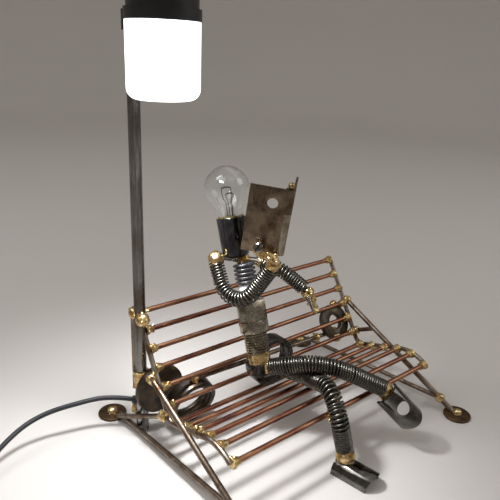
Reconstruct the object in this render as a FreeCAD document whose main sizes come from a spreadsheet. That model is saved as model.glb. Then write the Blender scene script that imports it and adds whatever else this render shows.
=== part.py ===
"""A little robot of springs and a spark plug reads a hinge on a bench of brazed rods, under a lamp post.

Millimetres, +Z up, the bench's long side along X and its front towards -Y.  The origin is on the floor,
under the middle of the object.  Every driving size is in the sheet "sizes".
"""
import FreeCAD, Part
import Sketcher
import math
import os
from FreeCAD import Placement, Rotation, Vector

SIZES = [
    ("bench_width", 157.0), ("rod_dia", 3.0), ("leg_rod_dia", 3.4), ("slat_count", 12),
    ("back_rise", 54.0), ("back_lean", 32.2), ("seat_run", 36.0), ("seat_rise_angle", 19.5),
    ("seat_corner_y", 13.3), ("seat_corner_z", 20.4), ("rear_bend_radius", 6.0),
    ("front_roll_radius", 25.0), ("front_roll_angle", 50.0), ("leg_top_left", 37.5), ("leg_top_right", 31.7),
    ("foot_dia", 17.0), ("foot_thickness", 1.6), ("left_rear_foot_out", 10.0), ("left_rear_foot_y", 65.8),
    ("right_rear_foot_in", 6.5), ("right_rear_foot_y", 64.7), ("left_front_foot_out", 0.5),
    ("right_front_foot_out", 10.0), ("front_foot_y", -64.0), ("rail_joint_left", 0.175), ("rail_joint_right", 0.138),
    ("strut_joint", 0.726), ("cross_rod_drop", 6.5), ("cross_rod_joint", 0.85), ("weld_gap", 0.02),
    ("race_dia", 30.0), ("race_width", 9.0), ("race_wall", 3.2), ("race_groove", 4.0), ("race_in", 23.5),
    ("race_y", 28.6), ("race_z", 18.3), ("race_lean", 14.0), ("washer_dia", 25.0), ("washer_hole", 10.5),
    ("washer_thickness", 3.2), ("washer_in", 13.0), ("disc_dia", 30.0), ("disc_thickness", 4.5),
    ("disc_in", 7.0), ("disc_z", 28.0), ("disc_hub_dia", 9.0), ("post_dia", 6.4), ("post_foot_dia", 7.2),
    ("post_wall", 0.8), ("post_out", 1.7), ("post_y", 42.1), ("post_joint", 32.0), ("post_drop", 11.0),
    ("sleeve_braze", 10.0), ("braze_wall", 0.9), ("backing_low", 27.0), ("backing_high", 78.0),
    ("lamp_in", 1.5), ("lamp_y", 19.0), ("cap_dia", 34.4), ("cap_top", 243.0), ("cap_height", 16.0),
    ("cap_wall", 2.0), ("cap_band", 5.0), ("cap_rounding", 3.0), ("dome_dia", 32.0), ("diffuser_dia", 33.6),
    ("diffuser_height", 33.6), ("diffuser_wall", 1.6), ("diffuser_gap", 0.1), ("diffuser_neck", 5.0),
    ("diffuser_rounding", 5.0), ("led_dia", 22.0), ("led_height", 18.0), ("led_neck", 10.0),
    ("led_rounding", 4.0), ("clamp_height", 9.0), ("clamp_wall", 1.6),
    ("hip_x", -9.6), ("hip_y", 10.3), ("hip_z", 38.85), ("hip_dia", 31.0), ("hip_width", 9.0), ("hip_wall", 3.2),
    ("torso_x", -23.9), ("torso_y", 0.5), ("torso_z", 38.6), ("torso_lean", 20.1), ("torso_side_lean", 1.0),
    ("hip_block_width", 11.0), ("hip_block_height", 7.0), ("hip_weld_height", 6.0), ("hip_weld_dia", 12.5),
    ("thread_dia", 14.0), ("thread_length", 12.0), ("thread_pitch", 1.5), ("shell_dia", 17.0),
    ("shell_length", 8.0), ("shell_step", 1.0), ("plug_hex", 16.0), ("hex_length", 11.0),
    ("insulator_dia", 10.0), ("insulator_rib", 1.4), ("glaze_length", 10.0), ("rib_length", 12.0),
    ("insulator_ribs", 5), ("shoulder_rod", 4.4), ("shoulder_right", 14.0), ("shoulder_left", 11.0),
    ("shoulder_turn", 21.9), ("shoulder_tilt", 12.0), ("neck_shift", 3.85), ("sleeve_dia", 17.0),
    ("sleeve_wall", 0.9), ("sleeve_floor", 1.4), ("sleeve_length", 21.7), ("head_lean", 16.0),
    ("base_clearance", 0.05), ("base_proud", 0.8), ("bulb_dia", 26.1), ("bulb_neck", 14.6), ("globe_rise", 15.7),
    ("glass_wall", 0.6), ("stem_dia", 5.0), ("stem_height", 7.0), ("filament_wire", 0.5),
    ("filament_span", 7.0), ("filament_height", 16.0), ("arm_dia", 9.0), ("arm_wire", 1.5), ("leg_dia", 10.2),
    ("leg_wire", 1.7), ("spring_gap", 1.5), ("core_clearance", 0.3), ("shoe_length", 24.0), ("shoe_dia", 15.6),
    ("shoe_wall", 1.3), ("shoe_hole", 8.0), ("shoe_hole_reach", 11.0), ("leaf_height", 37.0),
    ("leaf_width", 20.5), ("leaf_thickness", 1.2), ("leaf_hole", 5.7), ("leaf_hole_in", 12.6),
    ("leaf_hole_up", 28.5), ("knuckle_dia", 4.6), ("knuckle_split", 24.0), ("knuckle_gap", 0.2),
    ("pin_dia", 2.2), ("pin_clearance", 0.05), ("pin_ball", 3.6), ("pin_x", -23.3), ("pin_y", -7.0),
    ("pin_z", 115.4), ("pin_lean", 9.4), ("book_turn", 134.6), ("book_opening", 92.0), ("screw_dia", 5.6),
    ("screw_head", 1.8), ("palm_dia", 8.0), ("cord_dia", 2.8), ("grommet_dia", 4.6), ("cord_height", 20.0),
    ("cord_heading", 139.0), ("coil_radius", 16.8), ("coil_loops", 4), ("coil_gap", 0.65), ("coil_x", -207.5),
    ("coil_y", 48.9), ("coil_start_angle", -50.2), ("plug_barrel_dia", 5.5), ("plug_barrel_length", 9.5), ("plug_dia", 9.0),
    ("plug_length", 17.0), ("braze_flare", 2.9), ("braze_length", 4.5), ("braze_bead", 3.0),
]

doc = FreeCAD.newDocument("bench_robot_lamp")
sheet = doc.addObject("Spreadsheet::Sheet", "sizes")
for row, (alias, value) in enumerate(SIZES, start=1):
    sheet.set(f"A{row}", alias)
    sheet.set(f"B{row}", str(value))
    sheet.setAlias(f"B{row}", alias)
doc.recompute()


class Dim:
    """A length worked out from the sheet: its number, and the expression that keeps it in step."""

    def __init__(self, value, text):
        self.value = value
        self.text = text

    def joined(self, other, sign, value):
        text = other.text if isinstance(other, Dim) else str(other)
        return Dim(value, f"({self.text} {sign} {text})")

    def __add__(self, other):
        return self.joined(other, "+", self.value + number(other))

    def __sub__(self, other):
        return self.joined(other, "-", self.value - number(other))

    def __mul__(self, other):
        return self.joined(other, "*", self.value * number(other))

    def __truediv__(self, other):
        return self.joined(other, "/", self.value / number(other))


def number(size):
    return size.value if isinstance(size, Dim) else float(size)


def dim(alias):
    return Dim(float(sheet.get(alias)), f"<<sizes>>.{alias}")


def val(alias):
    return float(sheet.get(alias))


pieces = {}


def keep(label, thing):
    """A finished sub-part under the name of its file."""
    thing.Label = label
    pieces[label] = thing
    return thing


def bound(kind, name, place, **sizes):
    """A primitive whose sizes follow the sheet."""
    thing = doc.addObject(kind, name)
    for field, size in sizes.items():
        thing.setExpression(field, size.text if isinstance(size, Dim) else str(size))
    thing.Placement = place
    return thing


def along(start, direction):
    """A placement at start with its own Z along direction."""
    return Placement(Vector(start), Rotation(Vector(0, 0, 1), Vector(direction)))


def unit(vector):
    return Vector(vector).normalize()


def cylinder(name, place, radius, height):
    return bound("Part::Cylinder", name, place, Radius=radius, Height=height)


def cut(name, base, tool):
    thing = doc.addObject("Part::Cut", name)
    thing.Base = base
    thing.Tool = tool
    return thing


def fuse(name, shapes):
    thing = doc.addObject("Part::MultiFuse", name)
    thing.Shapes = shapes
    return thing


def tube(name, place, radius, wall, height):
    """A round tube open at both ends."""
    outer = cylinder(name + "_outer", place, radius, height)
    inner = cylinder(name + "_bore", place, radius - wall, height)
    return cut(name, outer, inner)


def feature(label, shape):
    thing = doc.addObject("Part::Feature", label)
    thing.Shape = shape
    return keep(label, thing)


def pin_corner(sketch, index, kind, size):
    """Hold one corner of an outline at a sheet size from the axis, or on the axis where it is nought."""
    if isinstance(size, Dim):
        held = sketch.addConstraint(Sketcher.Constraint(kind, -1, 1, index, 1, size.value))
        sketch.setExpression(f"Constraints[{held}]", size.text)
    else:
        axis = -2 if kind == "DistanceX" else -1
        sketch.addConstraint(Sketcher.Constraint("PointOnObject", index, 1, axis))


def turned(label, outline, place):
    """A body turned about its own Z from a closed outline of radius and height pairs."""
    body = doc.addObject("PartDesign::Body", label)
    sketch = body.newObject("Sketcher::SketchObject", label + "_outline")
    plane = next(item for item in body.Origin.OriginFeatures if item.Role == "XZ_Plane")
    sketch.AttachmentSupport = [(plane, "")]
    sketch.MapMode = "FlatFace"
    corners = [Vector(number(across), number(up), 0) for across, up in outline]
    last = len(corners) - 1
    for index, corner in enumerate(corners):
        after = corners[0 if index == last else index + 1]
        sketch.addGeometry(Part.LineSegment(corner, after), False)
    for index, (across, up) in enumerate(outline):
        after = 0 if index == last else index + 1
        sketch.addConstraint(Sketcher.Constraint("Coincident", index, 2, after, 1))
        pin_corner(sketch, index, "DistanceX", across)
        pin_corner(sketch, index, "DistanceY", up)
    turn = body.newObject("PartDesign::Revolution", label + "_turned")
    turn.Profile = sketch
    turn.ReferenceAxis = (sketch, ["V_Axis"])
    turn.Angle = 360
    body.Tip = turn
    body.Placement = place
    doc.recompute()
    return keep(label, body)


def soften(label, radius, picks):
    """Round the circular edges of a turned piece that lie at the given radius and height pairs."""
    body = pieces[label]
    body.Label = label + "_sharp"
    inward = body.Placement.inverse()
    chosen = []
    for index, edge in enumerate(body.Shape.Edges, start=1):
        if edge.Curve.TypeId != "Part::GeomCircle":
            continue
        height = inward.multVec(edge.Curve.Center).z
        for across, up in picks:
            if abs(edge.Curve.Radius - number(across)) < 0.01 and abs(height - number(up)) < 0.01:
                chosen.append((index, number(radius), number(radius)))
    rounding = doc.addObject("Part::Fillet", label + "_rounded")
    rounding.Base = body
    rounding.Edges = chosen
    doc.recompute()
    return keep(label, rounding)


class Route:
    """Straight runs joined by tangent arcs, measured along its length."""

    def __init__(self, points, radii):
        self.runs = []
        self.length = 0.0
        here = points[0]
        for corner, after, radius in zip(points[1:-1], points[2:], radii):
            into = unit(corner - here)
            out = unit(after - corner)
            turn = into.getAngle(out)
            setback = radius * math.tan(turn / 2)
            self.add_run(here, into, (corner - here).Length - setback)
            axis = unit(into.cross(out))
            start = corner - into * setback
            self.runs.append((start, into, radius * turn, start + axis.cross(into) * radius, axis))
            self.length += radius * turn
            here = corner + out * setback
        self.add_run(here, unit(points[-1] - here), (points[-1] - here).Length)

    def add_run(self, start, direction, length):
        if length > 1e-6:
            self.runs.append((start, direction, length, None, None))
            self.length += length

    def at(self, distance, carried=None):
        """Point, direction, pull towards the bend's centre, and a normal carried along untwisted."""
        normal = carried or Vector(0, 0, 1)
        for start, into, length, centre, axis in self.runs:
            last = (start, into, length, centre, axis) == self.runs[-1]
            done = min(distance, length) if not last else distance
            if centre is None:
                point, heading, pull = start + into * done, into, Vector()
            else:
                radius = (start - centre).Length
                swing = Rotation(axis, math.degrees(done / radius))
                point = centre + swing.multVec(start - centre)
                heading = swing.multVec(into)
                normal = swing.multVec(normal)
                pull = (centre - point) * (1 / radius ** 2)
            if distance <= length or last:
                return point, heading, pull, normal
            distance -= length
        return None

    def wire(self):
        edges = []
        for start, into, length, centre, axis in self.runs:
            if centre is None:
                edges.append(Part.LineSegment(start, start + into * length).toShape())
                continue
            radius = (start - centre).Length
            half = Rotation(axis, math.degrees(length / radius / 2))
            whole = Rotation(axis, math.degrees(length / radius))
            middle = centre + half.multVec(start - centre)
            end = centre + whole.multVec(start - centre)
            edges.append(Part.Arc(start, middle, end).toShape())
        return Part.Wire(edges)

    def rod(self, radius):
        """A round rod of one thickness along the route."""
        first = self.runs[0]
        ring = Part.Wire([Part.Circle(first[0], first[1], radius).toShape()])
        return self.wire().makePipeShell([ring], True, False)


def biarc(start, into, end, out):
    """Two arcs that leave start along into and arrive at end along out."""
    chord = end - start
    both = into + out
    spread = 2 * (1 - into.dot(out))
    reach = chord.dot(both)
    if spread < 1e-9:
        arm = chord.dot(chord) / (2 * reach)
    else:
        arm = (math.sqrt(reach ** 2 + spread * chord.dot(chord)) - reach) / spread
    joint = (start + into * arm + end - out * arm) * 0.5
    return [bend(start, start + into * arm, joint), bend(joint, end - out * arm, end)]


def bend(start, corner, end):
    """The arc from start to end whose end tangents meet at corner."""
    middle = (start + end) * 0.5
    rise = corner - middle
    if rise.Length < 1e-6:
        return Part.LineSegment(start, end).toShape()
    half = (end - start).Length / 2
    sag = half * math.tan(math.atan2(rise.Length, half) / 2)
    return Part.Arc(start, middle + unit(rise) * sag, end).toShape()


def spring(label, route, mean_radius, wire_radius):
    """A wound spring slipped over a bent rod: one unbroken wire, with the turns evenly spread."""
    start, heading, _, _ = route.at(0)
    side = heading.cross(Vector(0, 1, 0))
    side = unit(side) if side.Length > 0.1 else Vector(1, 0, 0)
    travel = route.length - 2 * wire_radius
    turns = max(2, round(travel / (2 * wire_radius + val("spring_gap"))))
    steps = turns * 4
    rate = 2 * math.pi * turns / travel
    spots = []
    for step in range(steps + 1):
        distance = wire_radius + travel * step / steps
        point, heading, pull, normal = route.at(distance, side)
        phase = math.pi / 2 * step
        offset = (normal * math.cos(phase) + heading.cross(normal) * math.sin(phase)) * mean_radius
        flow = heading * (1 - pull.dot(offset)) + heading.cross(offset) * rate
        spots.append((point + offset, unit(flow)))
    edges = []
    for (point, flow), (after, onward) in zip(spots, spots[1:]):
        edges.extend(biarc(point, flow, after, onward))
    ring = Part.Wire([Part.Circle(spots[0][0], spots[0][1], wire_radius).toShape()])
    path = Part.Wire(edges)
    shape = path.makePipeShell([ring], True, False)
    spacing = least_gap([point for edge in edges for point in edge.discretize(4)[:-1]], 16, 40)
    print(f"{label}: {turns} turns, least gap {spacing - 2 * wire_radius:.2f} mm,"
          f" volume ratio {shape.Volume / (path.Length * math.pi * wire_radius ** 2):.3f}")
    return feature(label, shape)


def least_gap(points, apart, window):
    """The least distance between points of a wound wire that lie that many steps apart along it."""
    best = 1e9
    for index, point in enumerate(points):
        for other in points[index + apart:index + window]:
            best = min(best, (point - other).Length)
    return best


def straight(start, end, radius):
    """A straight round rod from start to end."""
    return Part.makeCylinder(radius, (end - start).Length, start, end - start)


def touching(shape, others):
    """The shapes among others whose boxes meet the shape's box."""
    box = shape.BoundBox
    return [other for other in others if box.intersect(other.BoundBox)]


def coped(shape, others):
    """The shape cut to fit the pieces that it meets, and only its largest piece kept."""
    near = touching(shape, others)
    if near:
        shape = shape.cut(near)
    return max(shape.Solids, key=lambda solid: solid.Volume)


# Bench: two bent side frames, twelve slats between them, four legs on round feet

rod = dim("rod_dia") / 2
rod_radius = val("rod_dia") / 2
leg_radius = val("leg_rod_dia") / 2
half_width = val("bench_width") / 2


def frame_route(x):
    """A side frame seen from its end: down the back, round the rear bend, along the seat and over the front."""
    lean = math.radians(val("back_lean"))
    rise = math.radians(val("seat_rise_angle"))
    drop = rise - math.radians(val("front_roll_angle"))
    roll = val("front_roll_radius") * math.tan(math.radians(val("front_roll_angle")) / 2)
    corner = Vector(x, val("seat_corner_y"), val("seat_corner_z"))
    top = corner + Vector(0, math.tan(lean), 1) * val("back_rise")
    front = corner + Vector(0, -math.cos(rise), math.sin(rise)) * (val("seat_run") + roll)
    end = front + Vector(0, -math.cos(drop), math.sin(drop)) * roll * 1.001
    return Route([top, corner, front, end], [val("rear_bend_radius"), val("front_roll_radius") * 0.999])


frames = {"left": frame_route(-half_width), "right": frame_route(half_width)}
frame_shapes = {}
for side, route in frames.items():
    frame_shapes[side] = route.rod(rod_radius)
    feature(f"side_frame_{side}", frame_shapes[side])

slat_spots = []
for index in range(int(val("slat_count"))):
    distance = frames["left"].length * index / (val("slat_count") - 1)
    spot, _, _, _ = frames["left"].at(distance)
    slat_spots.append(spot)
    name = f"slat_{index + 1:02d}"
    place = along(spot + Vector(rod_radius, 0, 0), (1, 0, 0))
    keep(name, cylinder(name, place, rod, dim("bench_width") - dim("rod_dia")))

floor_top = Part.makeBox(400, 400, 40, Vector(-200, -200, val("foot_thickness") - 40))
feet = {
    "left_rear": Vector(-half_width - val("left_rear_foot_out"), val("left_rear_foot_y"), 0),
    "right_rear": Vector(half_width - val("right_rear_foot_in"), val("right_rear_foot_y"), 0),
    "left_front": Vector(-half_width - val("left_front_foot_out"), val("front_foot_y"), 0),
    "right_front": Vector(half_width + val("right_front_foot_out"), val("front_foot_y"), 0),
}
discs = [
    cylinder("foot_" + name, Placement(spot, Rotation()), dim("foot_dia") / 2, dim("foot_thickness"))
    for name, spot in feet.items()
]
keep("foot_discs", fuse("foot_discs", discs))

legs = {}
leg_tops = {}
for side, sign in (("left", -1), ("right", 1)):
    spot, _, _, _ = frames[side].at(val(f"leg_top_{side}"))
    leg_tops[side] = spot + Vector(sign * (rod_radius + leg_radius), 0, 0)
    legs[side] = coped(straight(feet[f"{side}_front"], leg_tops[side], leg_radius), [floor_top, frame_shapes[side]])
    feature(f"front_leg_{side}", legs[side])


def on_leg(side, share):
    """A point on the axis of a front leg, from its foot upwards."""
    foot = feet[f"{side}_front"]
    return foot + (leg_tops[side] - foot) * share


# Seat back: the braced cross rod, the washer and the bearing race that stiffen it

back_down = unit(slat_spots[4] - slat_spots[2])
behind = Vector(0, -back_down.z, back_down.y)
seam = val("weld_gap")
washer_seat = slat_spots[4] + behind * (rod_radius + seam)
washer_seat.x = half_width - val("washer_in")
keep("washer_right", tube("washer_right", along(washer_seat, behind), dim("washer_dia") / 2,
                          dim("washer_dia") / 2 - dim("washer_hole") / 2, dim("washer_thickness")))


def bearing_race(label, centre, turn, size):
    """The outer ring of a ball bearing, with the balls' groove round its bore."""
    outer = dim(f"{size}_dia") / 2
    bore = outer - dim(f"{size}_wall")
    groove = dim("race_groove")
    width = dim(f"{size}_width")
    lip = (width - groove) / 2
    step = groove / 4
    outline = [
        (outer, 0), (outer, width), (bore, width), (bore, width - lip), (bore + step, width - lip - step),
        (bore + step, lip + step), (bore, lip), (bore, 0),
    ]
    offset = turn.multVec(Vector(0, 0, -number(width) / 2))
    return turned(label, outline, Placement(centre + offset, turn))


race_centre = Vector(val("race_in") - half_width, val("race_y"), val("race_z"))
race_turn = Rotation(Vector(1, 0, 0), 90 + val("race_lean"))
race = bearing_race("bearing_race", race_centre, race_turn, "race")
race_up = race_turn.multVec(Vector(0, 1, 0))
cross_start = race_centre + race_up * (val("race_dia") / 2 + rod_radius + seam)
cross_end = washer_seat + behind * (val("washer_thickness") + rod_radius + seam) + back_down * val("cross_rod_drop")
cross_end.x = washer_seat.x
cross_rod = straight(cross_start, cross_end, rod_radius)
feature("cross_rod", coped(cross_rod, [pieces[name].Shape for name in ("slat_05", "slat_06", "washer_right")]))
cross_joint = cross_start + (cross_end - cross_start) * val("cross_rod_joint")


# Lamp post: a plated foot tube, the darker upright on it, and a rod brazed up its back

upright = Rotation()
post_axis = Vector(-half_width - val("post_out"), val("post_y"), 0)
foot_tube = tube("post_foot_plain", Placement(post_axis, upright), dim("post_foot_dia") / 2, dim("post_wall"),
                 dim("post_joint"))
heading = math.radians(val("cord_heading"))
cord_way = Vector(math.cos(heading), math.sin(heading), 0)
entry = post_axis + Vector(0, 0, val("cord_height"))
entry_hole = cylinder("cord_entry", along(entry, cord_way), dim("grommet_dia") / 2, dim("post_foot_dia"))
keep("post_foot", cut("post_foot", foot_tube, entry_hole))
post_high = dim("cap_top") - dim("post_drop")
post_tube = tube("post_plain", Placement(post_axis + Vector(0, 0, val("post_joint")), upright),
                 dim("post_dia") / 2, dim("post_wall"), post_high - dim("post_joint"))
notch = doc.addObject("Part::Feature", "post_notch")
notch.Shape = frames["left"].rod(rod_radius + 0.15)
keep("post_upright", cut("post_upright", post_tube, notch))
brace = Vector(-0.3, 0.95, 0).normalize() * (val("post_foot_dia") / 2 + rod_radius + seam)
backing = straight(post_axis + brace + Vector(0, 0, val("backing_low")),
                   post_axis + brace + Vector(0, 0, val("backing_high")), rod_radius)
feature("post_backing_rod", backing)
doc.recompute()
post_shapes = [pieces["post_foot"].Shape, pieces["post_upright"].Shape, backing]

disc_y = val("post_y") - val("post_foot_dia") / 2 - seam
disc_place = along(Vector(val("disc_in") - half_width, disc_y, val("disc_z")), (0, -1, 0))
disc_rim = cylinder("disc_rim", disc_place, dim("disc_dia") / 2, dim("disc_thickness") - 1)
disc_hub = cylinder("disc_hub", disc_place, dim("disc_hub_dia") / 2, dim("disc_thickness"))
keep("disc_left", fuse("disc_left", [disc_rim, disc_hub]))
doc.recompute()


# Rear legs, foot rails and the side strut, each coped to the rods that it meets

fixed = [legs["left"], legs["right"], frame_shapes["left"], frame_shapes["right"], floor_top, cross_rod,
         pieces["disc_left"].Shape, pieces["bearing_race"].Shape] + post_shapes
low = val("foot_thickness") + rod_radius
left_weld, _, _, _ = frames["left"].at(slat_spots[0].distanceToPoint(slat_spots[5]) + 4.2)
left_weld = left_weld - Vector(rod_radius * 2 + seam, 0, 0)
rear_legs = {
    "left": (feet["left_rear"] + Vector(-0.4, -3.0, 0), left_weld),
    "right": (feet["right_rear"] + Vector(0, -1, 0), cross_joint),
}
for side, (start, end) in rear_legs.items():
    shape = coped(straight(start, end, rod_radius), fixed)
    feature(f"rear_leg_{side}", shape)
    fixed.append(shape)
rails = {
    "left": (feet["left_rear"] + Vector(1.9, -6.0, low), on_leg("left", val("rail_joint_left"))),
    "right": (feet["right_rear"] + Vector(5.4, -2.5, low), on_leg("right", val("rail_joint_right"))),
}
for side, (start, end) in rails.items():
    shape = coped(straight(start, end, rod_radius), fixed)
    feature(f"foot_rail_{side}", shape)
    fixed.append(shape)
strut_foot = slat_spots[5] + Vector(half_width * 2 + rod_radius * 2 + seam, 0, 0)
strut = coped(straight(strut_foot, on_leg("right", val("strut_joint")), rod_radius), fixed)
feature("side_strut", strut)
fixed.append(strut)


# Lamp head: a cap held off the post by its clamp, the frosted diffuser turned into it, and the light inside

lamp_axis = Vector(val("lamp_in") - half_width, val("lamp_y"), 0)
cap_outer = dim("cap_dia") / 2
dome_outer = dim("dome_dia") / 2
cap_bore = dome_outer - dim("cap_wall")
cap_height = dim("cap_height")
cap_low = val("cap_top") - val("cap_height")
cap_roof = cap_height - dim("cap_wall")
turned("lamp_cap", [
    (cap_bore, 0), (cap_outer, 0), (cap_outer, dim("cap_band")), (dome_outer, dim("cap_band")),
    (dome_outer, cap_height), (0, cap_height), (0, cap_roof), (cap_bore, cap_roof),
], Placement(lamp_axis + Vector(0, 0, cap_low), upright))
soften("lamp_cap", dim("cap_rounding"), [(dome_outer, cap_height)])

neck = cap_bore - dim("diffuser_gap")
glow = dim("diffuser_dia") / 2
skin = dim("diffuser_wall")
shade = dim("diffuser_height") - dim("diffuser_gap") * 2
shade_top = shade + dim("diffuser_neck")
turned("lamp_diffuser", [
    (0, skin), (0, 0), (glow, 0), (glow, shade), (neck, shade), (neck, shade_top), (neck - skin, shade_top),
    (neck - skin, skin),
], Placement(lamp_axis + Vector(0, 0, cap_low - val("diffuser_height")), upright))
soften("lamp_diffuser", dim("diffuser_rounding"), [(glow, 0)])

led = dim("led_dia") / 2
led_top = dim("led_height") + dim("led_neck")
turned("led_lamp", [
    (0, 0), (led, 0), (led, dim("led_height")), (led * 0.7, dim("led_height")), (led * 0.7, led_top), (0, led_top),
], Placement(lamp_axis + Vector(0, 0, val("cap_top") - val("cap_wall") - number(led_top)), upright))
soften("led_lamp", dim("led_rounding"), [(led, 0)])

clamp_low = Placement(post_axis + Vector(0, 0, number(post_high) - val("clamp_height")), upright)
collar = cylinder("clamp_collar", clamp_low, dim("post_dia") / 2 + dim("clamp_wall"), dim("clamp_height"))
to_lamp = unit(lamp_axis - post_axis)
reach = (lamp_axis - post_axis).Length - val("cap_dia") / 2 + 1.5
arm_start = post_axis + Vector(0, 0, cap_low + val("cap_band") / 2)
stub = cylinder("clamp_stub", along(arm_start, to_lamp), dim("cap_band") * 0.45, reach)
clamp_bore = cylinder("clamp_bore", clamp_low, dim("post_dia") / 2, dim("clamp_height"))
cap_room = cylinder("clamp_cap_room", Placement(lamp_axis + Vector(0, 0, cap_low), upright),
                    dim("cap_dia") / 2, dim("cap_band") * 2)
clamp_solid = fuse("clamp_solid", [collar, stub])
keep("lamp_clamp", cut("lamp_clamp", cut("clamp_bored", clamp_solid, clamp_bore), cap_room))
doc.recompute()


# Robot: hips, the threaded plug that is its torso, shoulders and head

def leaning(back, side):
    return Rotation(Vector(0, 1, 0), side) * Rotation(Vector(1, 0, 0), -back)


torso_foot = Vector(val("torso_x"), val("torso_y"), val("torso_z"))
torso_turn = leaning(val("torso_lean"), val("torso_side_lean"))
torso_up = torso_turn.multVec(Vector(0, 0, 1))


def up_torso(height):
    return Placement(torso_foot + torso_up * number(height), torso_turn)


hips = Vector(val("hip_x"), val("hip_y"), val("hip_z"))
hip_ring = bearing_race("hip_ring", hips, Rotation(Vector(1, 0, 0), 90), "hip")
weld_low = dim("hip_block_height")
thread_low = weld_low + dim("hip_weld_height")
shell_low = thread_low + dim("thread_length")
hex_low = shell_low + dim("shell_length")
glaze_low = hex_low + dim("hex_length")
torso_top = glaze_low + dim("glaze_length") + dim("rib_length")

crest = dim("thread_dia") / 2
pitch = dim("thread_pitch")
root = crest - pitch * 0.6
outline = [(0, 0), (root, 0)]
for turn in range(int(val("thread_length") / val("thread_pitch"))):
    low_edge = pitch * turn
    outline += [(root, low_edge + pitch * 0.1), (crest, low_edge + pitch * 0.4), (crest, low_edge + pitch * 0.6),
                (root, low_edge + pitch * 0.9)]
shell = dim("shell_dia") / 2
shell_top = dim("thread_length") + dim("shell_length")
outline += [(root, dim("thread_length")), (shell - dim("shell_step"), dim("thread_length")),
            (shell, dim("thread_length") + dim("shell_step")), (shell, shell_top - dim("shell_step")),
            (shell - dim("shell_step"), shell_top), (0, shell_top)]
barrel = turned("plug_barrel", outline, up_torso(thread_low))
del pieces["plug_barrel"]
flats = doc.addObject("Part::Prism", "plug_flats")
flats.Polygon = 6
flats.setExpression("Circumradius", (dim("plug_hex") / 1.7320508).text)
flats.setExpression("Height", dim("hex_length").text)
flats.Placement = up_torso(hex_low)
ring_room = cylinder("hip_ring_room", Placement(hips + Vector(0, val("hip_width") / 2 + seam, 0),
                                                Rotation(Vector(1, 0, 0), 90)),
                     dim("hip_dia") / 2 + dim("weld_gap"), dim("hip_width") + dim("weld_gap") * 2)
keep("plug_shell", cut("plug_shell", fuse("plug_shell_round", [barrel, flats]), ring_room))

glaze = dim("insulator_dia") / 2
rib = glaze + dim("insulator_rib")
rib_count = int(val("insulator_ribs"))
rib_pitch = dim("rib_length") / rib_count
outline = [(0, 0), (glaze, 0), (glaze, dim("glaze_length"))]
for turn in range(rib_count):
    foot = dim("glaze_length") + rib_pitch * turn
    outline += [(rib, foot + rib_pitch * 0.3), (rib, foot + rib_pitch * 0.7)]
    if turn < rib_count - 1:
        outline += [(glaze, foot + rib_pitch)]
insulator_top = dim("glaze_length") + dim("rib_length")
outline += [(glaze, insulator_top), (0, insulator_top)]
turned("plug_insulator", outline, up_torso(glaze_low))

limb_radius = {"arm": val("arm_dia") / 2, "leg": val("leg_dia") / 2}
legs_start = {"right": Vector(-20.7, -2.5, 43.6), "left": Vector(-6.8, 1.0, 36.2)}
limb_routes = {
    "leg_spring_right": Route([
        legs_start["right"], Vector(-14.8, -11.1, 47.3), Vector(-6.2, -21.6, 50.4), Vector(2.4, -30.0, 49.2),
        Vector(11.1, -37.1, 45.2), Vector(26.4, -49.1, 36.2)], [30.0, 26.0, 26.0, 26.0]),
    "leg_spring_left": Route([
        legs_start["left"], Vector(-4.3, -11.2, 37.4), Vector(-4.8, -26.3, 40.2), Vector(-8.6, -39.0, 44.8),
        Vector(-11.8, -50.0, 32.0), Vector(-7.7, -53.2, 10.8)], [30.0, 26.0, 13.0, 15.0]),
    "arm_spring_right": Route([
        Vector(-38.5, 28.6, 102.6), Vector(-40.1, 10.9, 73.3), Vector(-27.2, -6.2, 108.0)], [12.5]),
    "arm_spring_left": Route([
        Vector(-12.1, 19.2, 100.1), Vector(-4.5, 9.5, 96.5), Vector(4.6, 0.2, 86.6)], [22.0]),
}


def envelope(name, distance):
    """The outside of the first stretch of a limb, as room that its neighbours leave."""
    start, heading_there, _, _ = limb_routes[name].at(0)
    room = limb_radius["arm" if name.startswith("arm") else "leg"] + seam
    return Part.makeCylinder(room, distance, start, heading_there)


doc.recompute()
width = val("hip_block_width")
block = Part.makeBox(width, width, val("hip_block_height"), Vector(-width / 2, -width / 2, 0))
block.Placement = up_torso(0)
hip_shape = hip_ring.Shape
block = coped(block, [hip_shape, envelope("leg_spring_right", 20)])
feature("hip_block", block)

bar_turn = Rotation(Vector(0, 0, 1), -val("shoulder_turn")) * Rotation(Vector(0, 1, 0), val("shoulder_tilt"))
across = bar_turn.multVec(Vector(1, 0, 0))
bar_middle = up_torso(torso_top).Base + torso_up * (val("shoulder_rod") / 2)
head_turn = leaning(val("head_lean"), 0)
head_up = head_turn.multVec(Vector(0, 0, 1))
neck_foot = bar_middle - across * val("neck_shift") + head_up * (val("shoulder_rod") / 2)


def up_head(height):
    return Placement(neck_foot + head_up * number(height), head_turn)


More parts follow.
